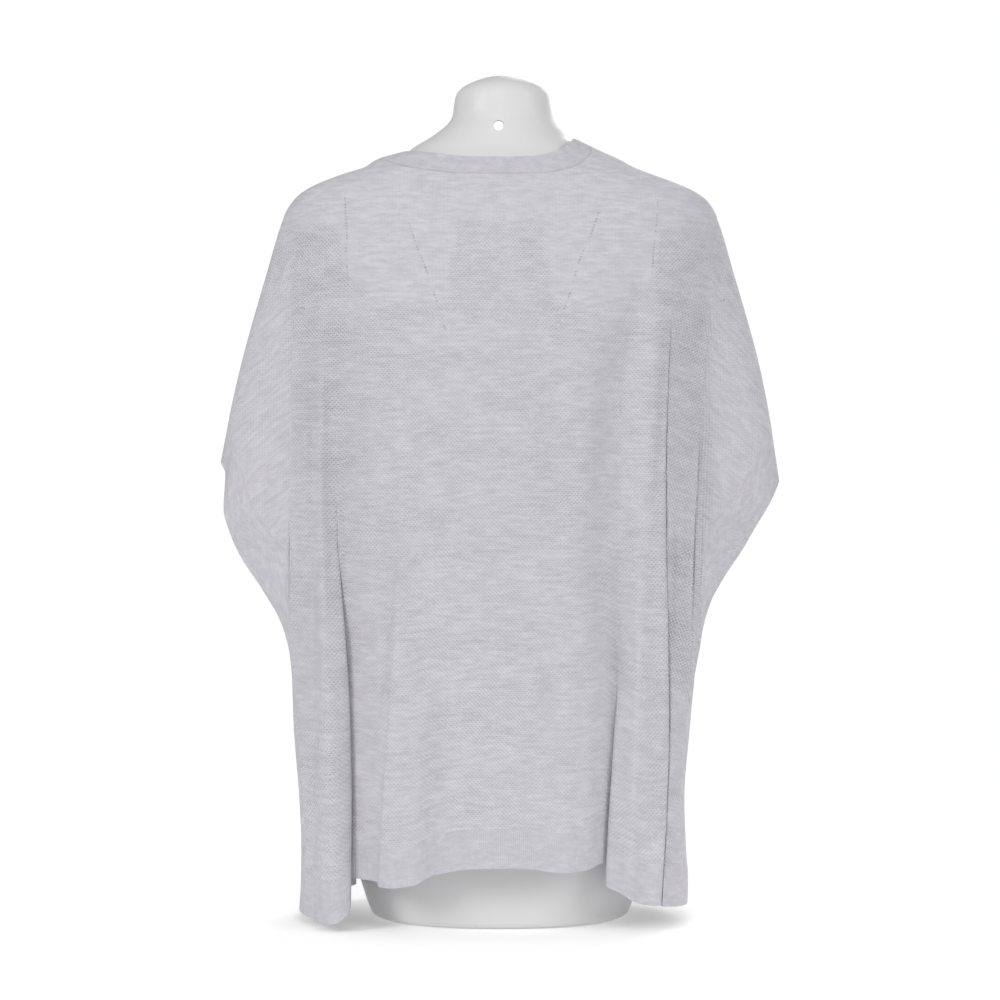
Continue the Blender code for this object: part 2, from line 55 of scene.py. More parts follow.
# how far the cloth reaches: shoulder line, overarm fold, past the cuff, side seam
reachRows = rowsOf(
    "height left right",
    (0.0000, 0.2010, 0.1865),
    (0.0400, 0.1985, 0.1875),
    (0.0700, 0.1982, 0.1856),
    (0.1200, 0.2002, 0.1840),
    (0.1860, 0.2055, 0.1890),
    (0.2360, 0.2077, 0.1940),
    (0.2760, 0.2115, 0.2010),
    (0.2885, 0.2130, 0.2028),
    (0.3000, 0.2225, 0.2040),
    (0.3090, 0.2300, 0.2055),
    (0.3200, 0.2395, 0.2150),
    (0.3380, 0.2540, 0.2290),
    (0.3600, 0.2690, 0.2440),
    (0.4000, 0.2830, 0.2680),
    (0.4360, 0.2820, 0.2790),
    (0.4550, 0.2790, 0.2765),
    (0.5380, 0.2620, 0.2620),
    (0.6430, 0.2330, 0.2335),
    (0.6980, 0.2160, 0.2165),
    (0.7120, 0.2080, 0.2085),
    (0.7210, 0.1990, 0.1970),
    (0.7290, 0.1850, 0.1800),
    (0.7390, 0.1590, 0.1530),
    (0.7460, 0.1370, 0.1350),
    (0.7540, 0.1243, 0.1205),
    (0.7605, 0.1010, 0.1060),
    (0.7735, 0.0700, 0.0785),
)

# half the body's depth behind and before the middle, and the stand of its rounded sides
bodyRows = rowsOf(
    "height back front left right",
    (0.0000, 0.1320, 0.1330, 0.2100, 0.2050),
    (0.1200, 0.1290, 0.1325, 0.2100, 0.2050),
    (0.2360, 0.1265, 0.1320, 0.2072, 0.1932),
    (0.3000, 0.1250, 0.1320, 0.2090, 0.1965),
    (0.4000, 0.1235, 0.1320, 0.2085, 0.1975),
    (0.5000, 0.1220, 0.1310, 0.2070, 0.2010),
    (0.6000, 0.1155, 0.1160, 0.2075, 0.2070),
    (0.6500, 0.1080, 0.0970, 0.2085, 0.2105),
    (0.6900, 0.0980, 0.0790, 0.2110, 0.2120),
    (0.7150, 0.0890, 0.0670, 0.2300, 0.2300),
    (0.7350, 0.0790, 0.0590, 0.2300, 0.2300),
    (0.7500, 0.0705, 0.0540, 0.2300, 0.2300),
    (0.7605, 0.0650, 0.0510, 0.2300, 0.2300),
    (0.7735, 0.0600, 0.0480, 0.2300, 0.2300),
)

sleeveRows = rowsOf(
    "height depth",
    (0.000, 0.012),
    (0.236, 0.020),
    (0.309, 0.030),
    (0.450, 0.033),
    (0.600, 0.031),
    (0.700, 0.021),
    (0.775, 0.013),
)

# the neckline's heights, from the left shoulder line (-1) to the right one (1)
neckRows = rowsOf(
    "along back front",
    (-1.00, 0.7605, 0.7605),
    (-0.75, 0.7578, 0.7460),
    (-0.50, 0.7545, 0.7220),
    (-0.25, 0.7507, 0.7080),
    (0.00, 0.7500, 0.7040),
    (0.25, 0.7508, 0.7090),
    (0.40, 0.7543, 0.7170),
    (0.55, 0.7590, 0.7290),
    (0.70, 0.7657, 0.7450),
    (0.87, 0.7710, 0.7640),
    (1.00, 0.7735, 0.7735),
)

# the bottom edge, lowest in the lobes below the side seams
hemRows = rowsOf(
    "across back front",
    (-0.2010, 0.0100, 0.0100),
    (-0.1830, 0.0082, 0.0110),
    (-0.1660, 0.0074, 0.0150),
    (-0.1590, 0.0088, 0.0190),
    (-0.1555, 0.0150, 0.0240),
    (-0.1530, 0.0250, 0.0280),
    (-0.1505, 0.0455, 0.0310),
    (-0.1480, 0.0515, 0.0335),
    (-0.1390, 0.0505, 0.0370),
    (-0.1190, 0.0500, 0.0460),
    (-0.1120, 0.0470, 0.0490),
    (-0.1040, 0.0460, 0.0510),
    (-0.0850, 0.0482, 0.0540),
    (-0.0627, 0.0580, 0.0570),
    (-0.0300, 0.0650, 0.0600),
    (0.0200, 0.0658, 0.0610),
    (0.0600, 0.0610, 0.0580),
    (0.0800, 0.0618, 0.0550),
    (0.0990, 0.0665, 0.0500),
    (0.1045, 0.0590, 0.0480),
    (0.1095, 0.0465, 0.0450),
    (0.1200, 0.0370, 0.0375),
    (0.1400, 0.0272, 0.0280),
    (0.1865, 0.0165, 0.0165),
)

# each sleeve's open edge, and the seam of its band
cuffEdgeRows = {
    left: rowsOf(
        "height reach",
        (0.2885, 0.2130),
        (0.3270, 0.2350),
        (0.3625, 0.2580),
        (0.3840, 0.2676),
        (0.4080, 0.2740),
        (0.4415, 0.2720),
        (0.4550, 0.2790),
    ),
    right: rowsOf(
        "height reach",
        (0.3090, 0.2055),
        (0.3380, 0.2210),
        (0.3680, 0.2410),
        (0.3890, 0.2530),
        (0.4150, 0.2690),
        (0.4360, 0.2790),
    ),
}
cuffSeamRows = {
    left: rowsOf(
        "height reach",
        (0.2510, 0.2090),
        (0.3000, 0.2070),
        (0.3630, 0.2070),
        (0.3830, 0.2220),
        (0.4080, 0.2410),
        (0.4380, 0.2520),
        (0.4980, 0.2703),
    ),
    right: rowsOf(
        "height reach",
        (0.2710, 0.2000),
        (0.3300, 0.1990),
        (0.3860, 0.2010),
        (0.3990, 0.2100),
        (0.4280, 0.2350),
        (0.4580, 0.2517),
        (0.4870, 0.2715),
    ),
}

# Each fold lies on a line of heights and places across. It starts at one height and is full at
# another, and may end lower down, from the first to the second height of end. depth draws the
# cloth in, or out where it is negative, and width is half the fold's. lap carries the cloth's
# edge over the fold, to the right or, if negative, left, and leaves a steep slit beside it.
def fold(start, full, depth, width, line, lap=0.0, edge=0.004, end=None):
    return {
        "start": start,
        "full": full,
        "depth": depth,
        "width": width,
        "line": rowsOf("height across", *sorted(line)),
        "lap": lap,
        "edge": edge,
        "end": end,
    }


folds = {
    back: {
        "leftEdge": fold(
            0.450, 0.320, 0.0040, 0.0017,
            ((0.6035, -0.2010), (0.5152, -0.2043), (0.4160, -0.2053), (0.2966, -0.2059),
             (0.2260, -0.2065), (0.0000, -0.2000)),
            lap=-0.005, edge=0.0030, end=(0.260, 0.200),
        ),
        "leftEdgeRidge": fold(
            0.640, 0.540, -0.0015, 0.0050,
            ((0.6400, -0.1980), (0.5152, -0.2043), (0.4160, -0.2053), (0.2966, -0.2020)),
            end=(0.400, 0.300),
        ),
        "leftHollow": fold(
            0.640, 0.480, 0.0055, 0.0052,
            ((0.6600, -0.1850), (0.4600, -0.1822), (0.3500, -0.1822), (0.2350, -0.1800),
             (0.0600, -0.1825)),
        ),
        "leftRidge": fold(
            0.660, 0.500, -0.0032, 0.0060,
            ((0.6560, -0.1770), (0.4600, -0.1742), (0.3500, -0.1742), (0.2350, -0.1715),
             (0.1200, -0.1722), (0.0500, -0.1740)),
        ),
        "leftCrease": fold(
            0.450, 0.240, 0.0045, 0.0024,
            ((0.5600, -0.1600), (0.4350, -0.1590), (0.3780, -0.1570), (0.3490, -0.1550),
             (0.3205, -0.1525), (0.2920, -0.1500), (0.2634, -0.1480), (0.2348, -0.1460),
             (0.1775, -0.1440), (0.1200, -0.1430), (0.0100, -0.1440)),
            lap=0.010, edge=0.0045,
        ),
        "leftRecess": fold(
            0.690, 0.430, 0.0185, 0.0175,
            ((0.6080, -0.1500), (0.4930, -0.1550), (0.4300, -0.1570), (0.3780, -0.1550),
             (0.2620, -0.1440), (0.0400, -0.1370)),
        ),
        "leftLobe": fold(
            0.460, 0.260, -0.0120, 0.0130,
            ((0.5600, -0.1740), (0.3780, -0.1690), (0.2620, -0.1660), (0.1000, -0.1620),
             (0.0400, -0.1620)),
        ),
        "leftStep": fold(
            0.420, 0.080, 0.0050, 0.0120,
            ((0.4200, -0.0980), (0.3205, -0.1003), (0.2441, -0.1041), (0.1238, -0.1117),
             (0.0400, -0.1160)),
            lap=-0.0045, edge=0.0045,
        ),
        "leftStepRidge": fold(
            0.640, 0.300, -0.0045, 0.0100,
            ((0.6000, -0.1000), (0.3205, -0.0950), (0.2441, -0.0980), (0.0400, -0.1060)),
        ),
        "leftMiddle": fold(
            0.300, 0.150, 0.0090, 0.0100, ((0.2446, -0.0667), (0.1030, -0.0666), (0.0400, -0.0640))
        ),
        "rightMiddle": fold(
            0.300, 0.200, 0.0030, 0.0090, ((0.2443, 0.0787), (0.1815, 0.0758), (0.0400, 0.0740))
        ),
        "rightCrease": fold(
            0.300, 0.100, 0.0036, 0.0026,
            ((0.3800, 0.1180), (0.3201, 0.1160), (0.2819, 0.1150), (0.2437, 0.1140),
             (0.1960, 0.1105), (0.1645, 0.1085), (0.0855, 0.1035), (0.0300, 0.1010)),
            lap=-0.0085, edge=0.0045,
        ),
        "rightHollow": fold(
            0.690, 0.450, 0.0210, 0.0185,
            ((0.6080, 0.1330), (0.4930, 0.1120), (0.3780, 0.1060), (0.2620, 0.1100),
             (0.1470, 0.1060), (0.0300, 0.1000)),
        ),
        "rightTrough": fold(
            0.370, 0.200, 0.0050, 0.0060,
            ((0.3800, 0.1150), (0.2819, 0.1120), (0.2437, 0.1110), (0.1645, 0.1050),
             (0.0855, 0.1000), (0.0300, 0.0970)),
        ),
        "rightCreaseRidge": fold(
            0.520, 0.220, -0.0070, 0.0100,
            ((0.4930, 0.1400), (0.3780, 0.1330), (0.2400, 0.1310), (0.0811, 0.1230)),
        ),
        "rightRidge": fold(
            0.660, 0.520, -0.0030, 0.0090, ((0.6089, 0.1490), (0.4160, 0.1490), (0.0400, 0.1450))
        ),
        "rightStrip": fold(
            0.600, 0.420, 0.0022, 0.0130,
            ((0.6000, 0.1690), (0.4930, 0.1660), (0.2800, 0.1650), (0.0300, 0.1590)),
        ),
        "rightPleat": fold(
            0.650, 0.260, 0.0125, 0.0057,
            ((0.6470, 0.1690), (0.5904, 0.1660), (0.5244, 0.1620), (0.4350, 0.1595),
             (0.3773, 0.1597), (0.2803, 0.1618), (0.1929, 0.1630), (0.1121, 0.1605),
             (0.0257, 0.1546)),
            lap=0.010, edge=0.0036,
        ),
        "rightPleatHollow": fold(
            0.420, 0.340, 0.0060, 0.0050,
            ((0.4200, 0.1680), (0.3400, 0.1655), (0.2500, 0.1640)),
            end=(0.300, 0.210),
        ),
        "rightEdge": fold(
            0.690, 0.330, 0.0085, 0.0048,
            ((0.6731, 0.2150), (0.6097, 0.2075), (0.5530, 0.2020), (0.4940, 0.1962),
             (0.4350, 0.1920), (0.3770, 0.1888), (0.3180, 0.1868), (0.2766, 0.1855),
             (0.0000, 0.1830)),
            lap=0.0085, edge=0.0036, end=(0.250, 0.200),
        ),
    },
    front: {
        "leftEdge": fold(
            0.440, 0.340, 0.003, 0.0028,
            ((0.6035, -0.2010), (0.4160, -0.2053), (0.2260, -0.2065), (0.0000, -0.2000)),
            lap=-0.005, edge=0.0030, end=(0.260, 0.200),
        ),
        "leftRidge": fold(
            0.660, 0.540, -0.0040, 0.0060, ((0.6400, -0.1820), (0.3000, -0.1780), (0.0400, -0.1740))
        ),
        "leftCrease": fold(
            0.540, 0.280, 0.0090, 0.0029,
            ((0.6000, -0.1600), (0.3500, -0.1540), (0.0200, -0.1490)),
            lap=0.010, edge=0.0045,
        ),
        "leftRecess": fold(
            0.600, 0.300, 0.0160, 0.0170,
            ((0.6000, -0.1520), (0.3500, -0.1450), (0.0200, -0.1400)),
        ),
        "leftSecond": fold(
            0.330, 0.120, 0.0070, 0.0020,
            ((0.4200, -0.1180), (0.2000, -0.1140), (0.0200, -0.1080)),
            lap=-0.008, edge=0.0045,
        ),
        "leftHollow": fold(
            0.440, 0.150, 0.0120, 0.0130, ((0.4200, -0.1250), (0.2000, -0.1240), (0.0200, -0.1210))
        ),
        "leftMiddle": fold(
            0.500, 0.160, 0.010, 0.0200, ((0.5000, -0.0310), (0.0200, -0.0360))
        ),
        "rightMiddle": fold(
            0.460, 0.140, 0.013, 0.0180, ((0.4600, 0.0590), (0.0200, 0.0640))
        ),
        "rightRidge": fold(
            0.420, 0.160, -0.0040, 0.0110, ((0.4200, 0.0920), (0.0200, 0.0940))
        ),
        "rightCrease": fold(
            0.420, 0.140, 0.0080, 0.0022,
            ((0.4800, 0.1290), (0.3500, 0.1250), (0.0200, 0.1160)),
            lap=-0.0085, edge=0.0045,
        ),
        "rightHollow": fold(
            0.480, 0.160, 0.0130, 0.0150, ((0.4800, 0.1150), (0.3500, 0.1140), (0.0200, 0.1070))
        ),
        "rightSideRidge": fold(
            0.560, 0.300, -0.0040, 0.0090, ((0.5600, 0.1450), (0.0200, 0.1400))
        ),
        "rightPleat": fold(
            0.620, 0.300, 0.0120, 0.0050,
            ((0.6600, 0.1710), (0.3500, 0.1620), (0.0200, 0.1570)),
            lap=0.010, edge=0.0036,
        ),
        "rightEdge": fold(
            0.640, 0.340, 0.0070, 0.0032,
            ((0.6731, 0.2150), (0.6097, 0.2085), (0.4953, 0.1995), (0.4051, 0.1950),
             (0.2766, 0.1910), (0.0000, 0.1850)),
            lap=0.0085, edge=0.0036, end=(0.260, 0.200),
        ),
    },
}

# rows of the panels: heights at the left edge, in the middle and at the right edge
panelRows = rowsOf(
    "row left middle right",
    (1, 0.7450, 0.7200, 0.7450),
    (2, 0.7380, 0.7060, 0.7370),
    (3, 0.7310, 0.6900, 0.7290),
    (4, 0.7220, 0.6720, 0.7210),
    (5, 0.7100, 0.6520, 0.7100),
    (6, 0.6930, 0.6300, 0.6930),
    (7, 0.6670, 0.6060, 0.6670),
    (8, 0.6330, 0.5800, 0.6330),
    (9, 0.5930, 0.5520, 0.5930),
    (10, 0.5480, 0.5220, 0.5440),
    (11, 0.4980, 0.4960, 0.4870),
    (12, 0.4940, 0.4740, 0.4830),
    (13, 0.4830, 0.4500, 0.4730),
    (14, 0.4560, 0.4240, 0.4460),
    (15, 0.4240, 0.3980, 0.4140),
    (16, 0.3920, 0.3720, 0.3850),
    (17, 0.3630, 0.3460, 0.3560),
    (18, 0.3270, 0.3200, 0.3270),
    (19, 0.2900, 0.2940, 0.3020),
    (20, 0.2680, 0.2680, 0.2850),
    (21, 0.2510, 0.2420, 0.2710),
    (22, 0.2150, 0.2120, 0.2220),
    (23, 0.1720, 0.1820, 0.1750),
    (24, 0.1300, 0.1520, 0.1320),
    (25, 0.0880, 0.1240, 0.0920),
)

cloth = {
    "wall": 0.0015,
    "sharpAngle": 65,
    "mergeDistance": 0.00002,
    "leastShare": 0.42,        # a fold leaves at least this share of the depth
    "bodyPowers": (2.8, 2.2),  # how square the body's section is
    "sleevePower": 20,
    "sleeveRise": 0.6,         # the sleeve is fuller beside the body by this share
    "leastSleeve": 0.02,
    "edgeFade": 0.012,         # laps fade out this near to the outer edge
    "shoulderHeight": 0.712,
    "strip": 0.007,            # least width outside the fold at the body's side
    "cuffRows": (11, 21),      # the panel rows that end on a sleeve band's seam
    "lastRow": 26,
    "rowBend": 2.5,
    "frontRows": (0.022, 0.0165, 0.06),  # the front's rows start lower, by no more than the last
    "neckDrop": (0.018, 0.0055),
    "hemWidth": 0.038,
    "hemLevel": 0.05,
}

# how a lap lies over its slit, as shares of its rolled edge
lapShape = {"slit": 0.9, "middle": 0.6, "spread": 0.95, "least": 0.05}


def slopesOf(places, values):
    steps = np.diff(values) / np.diff(places)
    slopes = np.empty_like(values)
    slopes[0], slopes[-1] = steps[0], steps[-1]
    before, after = steps[:-1], steps[1:]
    both = before * after
    total = np.where(both > 0, before + after, 1.0)
    slopes[1:-1] = np.where(both > 0, 2 * both / total, 0.0)
    return slopes


def read(rows, name, at):  # a column at places in the first one, on a curve without overshoot
    places, values = next(iter(rows.values())), rows[name]
    at = np.clip(np.asarray(at, float), places[0], places[-1])
    k = np.clip(np.searchsorted(places, at, side="right") - 1, 0, len(places) - 2)
    span = places[k + 1] - places[k]
    t = (at - places[k]) / span
    slopes = slopesOf(places, values)
    return (
        values[k] * (1 + 2 * t) * (1 - t) ** 2
        + slopes[k] * span * t * (1 - t) ** 2
        + values[k + 1] * t * t * (3 - 2 * t)
        - slopes[k + 1] * span * t * t * (1 - t)
    )


def ease(t):
    t = np.clip(t, 0.0, 1.0)
    return t * t * (3 - 2 * t)


def readByHand(rows, across, at):
    return np.where(across < 0, read(rows, "left", at), read(rows, "right", at))


def reach(across, height):
    return readByHand(reachRows, across, height)


def handReach(hand, height):
    return read(reachRows, handName[hand], height)


def panelEdge(hand, height):
    seam = cuffSeamRows[hand]
    inside = (height > seam["height"][0]) & (height < seam["height"][-1])
    full = handReach(hand, height)
    return np.where(inside, np.minimum(full, read(seam, "reach", height)), full)


def foldStrength(one, height):
    strength = ease((one["start"] - height) / (one["start"] - one["full"]))
    if one["end"]:
        begin, gone = one["end"]
        strength = strength * ease((height - gone) / (begin - gone))
    return strength


def foldCentre(one, height):  # a lap grows with its fold
    line = read(one["line"], "across", height)
    hidden = one["lap"] - np.sign(one["lap"]) * lapShape["middle"] * one["edge"]
    line = line - hidden * foldStrength(one, height)
    hand = left if one["line"]["across"][-1] < 0 else right
    shoulder = cloth["shoulderHeight"]
    spread = handReach(hand, np.maximum(height, shoulder)) / handReach(hand, shoulder)
    return line * spread


def plainDepth(side, across, height):
    limit = reach(across, height)
    bodyHalf = np.minimum(limit, readByHand(bodyRows, across, height))
    p, q = cloth["bodyPowers"]
    inside = np.maximum(0, 1 - (np.abs(across) / bodyHalf) ** p)
    body = read(bodyRows, sideName[side], height) * inside ** (1 / q)
    flat = np.maximum(0, 1 - (np.abs(across) / limit) ** cloth["sleevePower"])
    wing = np.maximum(limit - bodyHalf, cloth["leastSleeve"])
    outward = np.clip((np.abs(across) - bodyHalf) / wing, 0, 1)
    full = 1 + cloth["sleeveRise"] * (1 - outward)
    sleeve = read(sleeveRows, "depth", height) * full * np.sqrt(flat)
    return (body**3 + sleeve**3) ** (1 / 3)


def clothPoints(side, across, height):  # on the outer face
    across, height = np.broadcast_arrays(np.asarray(across, float), np.asarray(height, float))
    plain = plainDepth(side, across, height)
    drawn = np.zeros_like(plain)
    shift = np.zeros_like(plain)
    for one in folds[side].values():
        strength = foldStrength(one, height)
        off = across - foldCentre(one, height)
        if one["lap"]:
            size = np.maximum(strength, lapShape["least"])
            edge, width = one["edge"] * size, one["width"] * size
            turned = off * np.sign(one["lap"])
            beyond = turned - lapShape["slit"] * edge
            under = np.exp(-((beyond / edge) ** 2))
            slit = np.exp(-((beyond / width) ** 4))
            drawn += one["depth"] * strength * np.where(beyond < 0, under, slit)
            onLap = (turned + lapShape["middle"] * edge) / (lapShape["spread"] * edge)
            shift += one["lap"] * strength * np.exp(-(onLap**2))
        else:
            drawn += one["depth"] * strength * np.exp(-((off / one["width"]) ** 2))
    rest = 1 - cloth["leastShare"]
    safe = np.maximum(plain, 1e-9)
    share = cloth["leastShare"] + rest * np.exp(-np.maximum(drawn, 0) / (safe * rest))
    depth = plain * share - np.minimum(drawn, 0)
    inside = ease((reach(across, height) - np.abs(across)) / cloth["edgeFade"])
    return np.stack([across + shift * inside, side * depth, height], axis=-1)


panelGrid = {
    "rows": 156,          # six for each of the panel rows, as along a sleeve band's seam
    "gather": 0.1,        # columns lie closer beside the folds
    "folds": {            # the folds that lie on columns, from left to right
        back: "leftEdge leftCrease leftStep leftMiddle rightCrease rightPleat rightEdge".split(),
        front: "leftEdge leftCrease leftSecond leftMiddle rightMiddle rightCrease rightPleat"
        " rightEdge".split(),
    },
    back: (24, 36, 24, 14, 16, 30, 28, 26, 24),
    front: (24, 30, 24, 18, 10, 16, 20, 24, 26, 24),
}


def columnLines(side, height):
    edges = {hand: panelEdge(hand, height) for hand in (left, right)}
    inner = [foldCentre(folds[side][name], height) for name in panelGrid["folds"][side]]
    inner[0] = np.maximum(inner[0], cloth["strip"] - edges[left])
    inner[-1] = np.minimum(inner[-1], edges[right] - cloth["strip"])
    inner.append(np.zeros_like(height))
    inner = np.sort(np.array(inner), axis=0)
    return [-edges[left], *inner, edges[right]]


def columnAcross(side, column, height):
    lines = columnLines(side, height)
    counts = panelGrid[side]
    across = np.zeros_like(height)
    start = 0
    for k, count in enumerate(counts):
        t = np.clip((column - start) / count, 0, 1)
        if k == 0:
            t = 1 - np.cos(t * math.pi / 2)
        elif k == len(counts) - 1:
            t = np.sin(t * math.pi / 2)
        else:
            t = t - panelGrid["gather"] * np.sin(2 * math.pi * t)
        here = (column >= start) & (column <= start + count)
        across = np.where(here, lines[k] + (lines[k + 1] - lines[k]) * t, across)
        start += count
    return across


def alongShoulder(side, column):  # -1 at the left end of the shoulder line, 1 at the right
    height = np.full_like(column, cloth["shoulderHeight"])
    across = columnAcross(side, column, height)
    return across / reach(across, height)


def neckHeight(side, along):
    return read(neckRows, sideName[side], along)


def neckSeam(side, along):
    steep, flat = cloth["neckDrop"]
    return neckHeight(side, along) - steep + (steep - flat) * np.abs(along) ** 3


def hemSeam(side, column):
    across = columnAcross(side, column, np.full_like(column, cloth["hemLevel"]))
    return read(hemRows, sideName[side], across) + cloth["hemWidth"]


def rowHeight(side, row, column):
    along = alongShoulder(side, column)
    last = cloth["lastRow"]
    inner = np.clip(row, 1, last - 1)
    edge = readByHand(panelRows, along, inner)
    middle = read(panelRows, "middle", inner)
    if side == front:
        below, each, most = cloth["frontRows"]
        lowered = neckHeight(front, np.zeros(1))[0] - below - each * inner
        middle = np.maximum(np.minimum(middle, lowered), middle - most)
    height = middle + (edge - middle) * np.abs(along) ** cloth["rowBend"]
    top, bottom = neckSeam(side, along), hemSeam(side, column)
    height = np.where(row < 1, top + (height - top) * row, height)
    return np.where(row > last - 1, height + (bottom - height) * (row - last + 1), height)


# where the openwork begins: plain jersey lies above, round the neck and in two wedges
zones = {
    "edgeWidth": ((0.045, 0.047, 0.145, 0.175), (0.006, 0.018, 0.018, 0.045)),
    "sleeveShare": 0.45,   # the sleeves' openwork is drawn tighter, outside and below these
    "sleeveOut": (0.200, 0.012),
    "sleeveBelow": (0.660, 0.060),
    "sideShare": 0.48,     # and the body's sides' is pulled wider, between two reaches
    "sideReach": (0.135, 0.205),
    "sideFades": (0.020, 0.010),
    "top": rowsOf(
        "out height",
        (0.0000, 0.6863),
        (0.0435, 0.6863),
        (0.0500, 0.6090),
        (0.0960, 0.6070),
        (0.1152, 0.6095),
        (0.1349, 0.6231),
        (0.1498, 0.6410),
        (0.1580, 0.6800),
        (0.3000, 0.6900),
    ),
}

# lines of small eyelets where the knitter took in stitches, as across and height
marks = {
    "pitch": 0.0031,
    "radius": (0.0004, 0.0013),
    # the marks' eyelets are darkened with painted shade
    "shade": 0.62,
    "reach": 0.008,
    "away": 0.5,          # the place of all cloth farther from the lines than the reach
    "uneven": (70.0, 70.0, 130.0),
    "unevenRange": (0.38, 0.62),
}
markLines = (
    ((-0.0900, 0.6887), (-0.0837, 0.6708), (-0.0778, 0.6541), (-0.0709, 0.6374),
     (-0.0641, 0.6170), (-0.0574, 0.5957), (-0.0524, 0.5790)),
    ((-0.1505, 0.7090), (-0.1481, 0.6726), (-0.1490, 0.6579), (-0.1468, 0.6255)),
    ((-0.1934, 0.6035), (-0.1803, 0.5982)),
    ((0.0950, 0.6928), (0.0875, 0.6709), (0.0816, 0.6590), (0.0743, 0.6404),
     (0.0670, 0.6141), (0.0602, 0.5957)),
    ((0.1538, 0.7139), (0.1523, 0.6915), (0.1501, 0.6726), (0.1468, 0.6352)),
    ((0.2115, 0.6097), (0.2206, 0.6128)),
)

# a course takes up this share of the folds' depth, and is drawn closer towards the sides
knitLay = {
    "depthShare": 0.6,
    "closer": 0.12,
    "closerFrom": 0.120,
    "closerOver": 0.040,
    "middleHeight": 0.4,
    "dipOver": 0.45,       # courses dip with the hem over this height
    "dipPower": 1.5,
}

# the cloth outside these folds hangs turned, more and more between two heights
turnedKnit = {
    "sleeve": {"turn": math.radians(42), "begin": 0.695, "full": 0.615},
    "strip": {"turn": math.radians(20), "begin": 0.660, "full": 0.560},
}


def gridMesh(columns, rows):
    bm = bmesh.new()
    bmesh.ops.create_grid(bm, x_segments=columns, y_segments=rows, size=0.5)
    bm.verts.index_update()
    places = np.array([v.co for v in bm.verts])
    return bm, np.rint((places[:, 0] + 0.5) * columns), np.rint((places[:, 1] + 0.5) * rows)


def placeVerts(bm, points):
    for v, point in zip(bm.verts, points):
        v.co = point


def addUv(bm, name, choices, choose=None):
    layer = bm.loops.layers.uv.new(name)
    for face in bm.faces:
        places = choices[choose(face) if choose else 0]
        for loop in face.loops:
            loop[layer].uv = places[loop.vert.index]


def addFloat(bm, name, values):
    layer = bm.verts.layers.float.new(name)
    for v, value in zip(bm.verts, np.broadcast_to(values, len(bm.verts))):
        v[layer] = value


def newPiece(bm, name, material):
    for face in bm.faces:
        face.smooth = True
    mesh = bpy.data.meshes.new(name)
    bm.to_mesh(mesh)
    bm.free()
    piece = bpy.data.objects.new(name, mesh)
    bpy.context.scene.collection.objects.link(piece)
    mesh.materials.append(material)
    return piece


def applyModifiers(piece, sharpAngle):
    bpy.context.view_layer.update()
    graph = bpy.context.evaluated_depsgraph_get()
    finished = bpy.data.meshes.new_from_object(piece.evaluated_get(graph))
    piece.modifiers.clear()
    piece.data = finished
    finished.set_sharp_from_angle(angle=math.radians(sharpAngle))


def faceOutwards(bm, side=0):
    bm.normal_update()
    if side:
        turned = side * sum(f.normal.y * f.calc_area() for f in bm.faces) < 0
    else:
        bmesh.ops.recalc_face_normals(bm, faces=bm.faces)
        outermost = max(bm.faces, key=lambda f: abs(f.calc_center_median().y))
        turned = outermost.normal.y * outermost.calc_center_median().y < 0
    if turned:
        bmesh.ops.reverse_faces(bm, faces=bm.faces)


def wallPiece(bm, name, material, thickness, side=0):
    faceOutwards(bm, side)
    piece = newPiece(bm, name, material)
    wall = piece.modifiers.new("wall", "SOLIDIFY")
    wall.thickness = thickness
    wall.offset = -1.0
    wall.use_rim = True
    applyModifiers(piece, cloth["sharpAngle"])
    return piece


def markPlaces(across, height):
    pitch, away = marks["pitch"], marks["away"]
    best = np.full(across.shape, np.inf)
    off, along = np.full(across.shape, away), np.zeros(across.shape)
    for line in markLines:
        lengths = [math.dist(start, end) for start, end in zip(line, line[1:])]
        stretch = round(sum(lengths) / pitch) * pitch / sum(lengths)
        passed = 0.0
        for k, ((x0, z0), (x1, z1)) in enumerate(zip(line, line[1:])):
            length = lengths[k]
            dx, dz = (x1 - x0) / length, (z1 - z0) / length
            raw = (across - x0) * dx + (height - z0) * dz
            side = (across - x0) * dz - (height - z0) * dx
            distance = np.hypot(side, raw - np.clip(raw, 0, length))
            nearer = distance < best
            low = -pitch / 2 if k == 0 else 0
            high = length * stretch + (pitch / 2 if k == len(lengths) - 1 else 0)
            off = np.where(nearer, side, off)
            along = np.where(nearer, passed + np.clip(raw * stretch, low, high), along)
            best = np.minimum(best, distance)
            passed += length * stretch
    far = best > marks["reach"]
    off = np.where(far, np.copysign(away, off), off)
    return np.stack([off, np.where(far, pitch / 2, along)], axis=-1)


def turnKnit(places, across, height, row, column, edgeColumn, hand, how):
    # the knit turns round a point on the fold, at the height where the turning begins
    begin, full = how["begin"], how["full"]
    outside = (column - edgeColumn) * hand >= 0
    onFold = column == edgeColumn
    near = np.argmin(np.where(onFold, np.abs(height - begin), np.inf))
    share = ease((begin - height) / (begin - full))
    start = np.zeros(int(row.max()) + 1)
    start[row[onFold].astype(int)] = across[onFold] - places[onFold, 0]
    flat = places[near, 0] + places[:, 0] + start[row.astype(int)] - across[near]
    u = places[:, 0] + (flat - places[:, 0]) * share - places[near, 0]
    v = height - begin
    turn = hand * how["turn"] * share
    turnedU = u * np.cos(turn) - v * np.sin(turn) + places[near, 0]
    turnedV = u * np.sin(turn) + v * np.cos(turn) + begin
    return np.where(outside[:, None], np.stack([turnedU, turnedV], axis=-1), places)


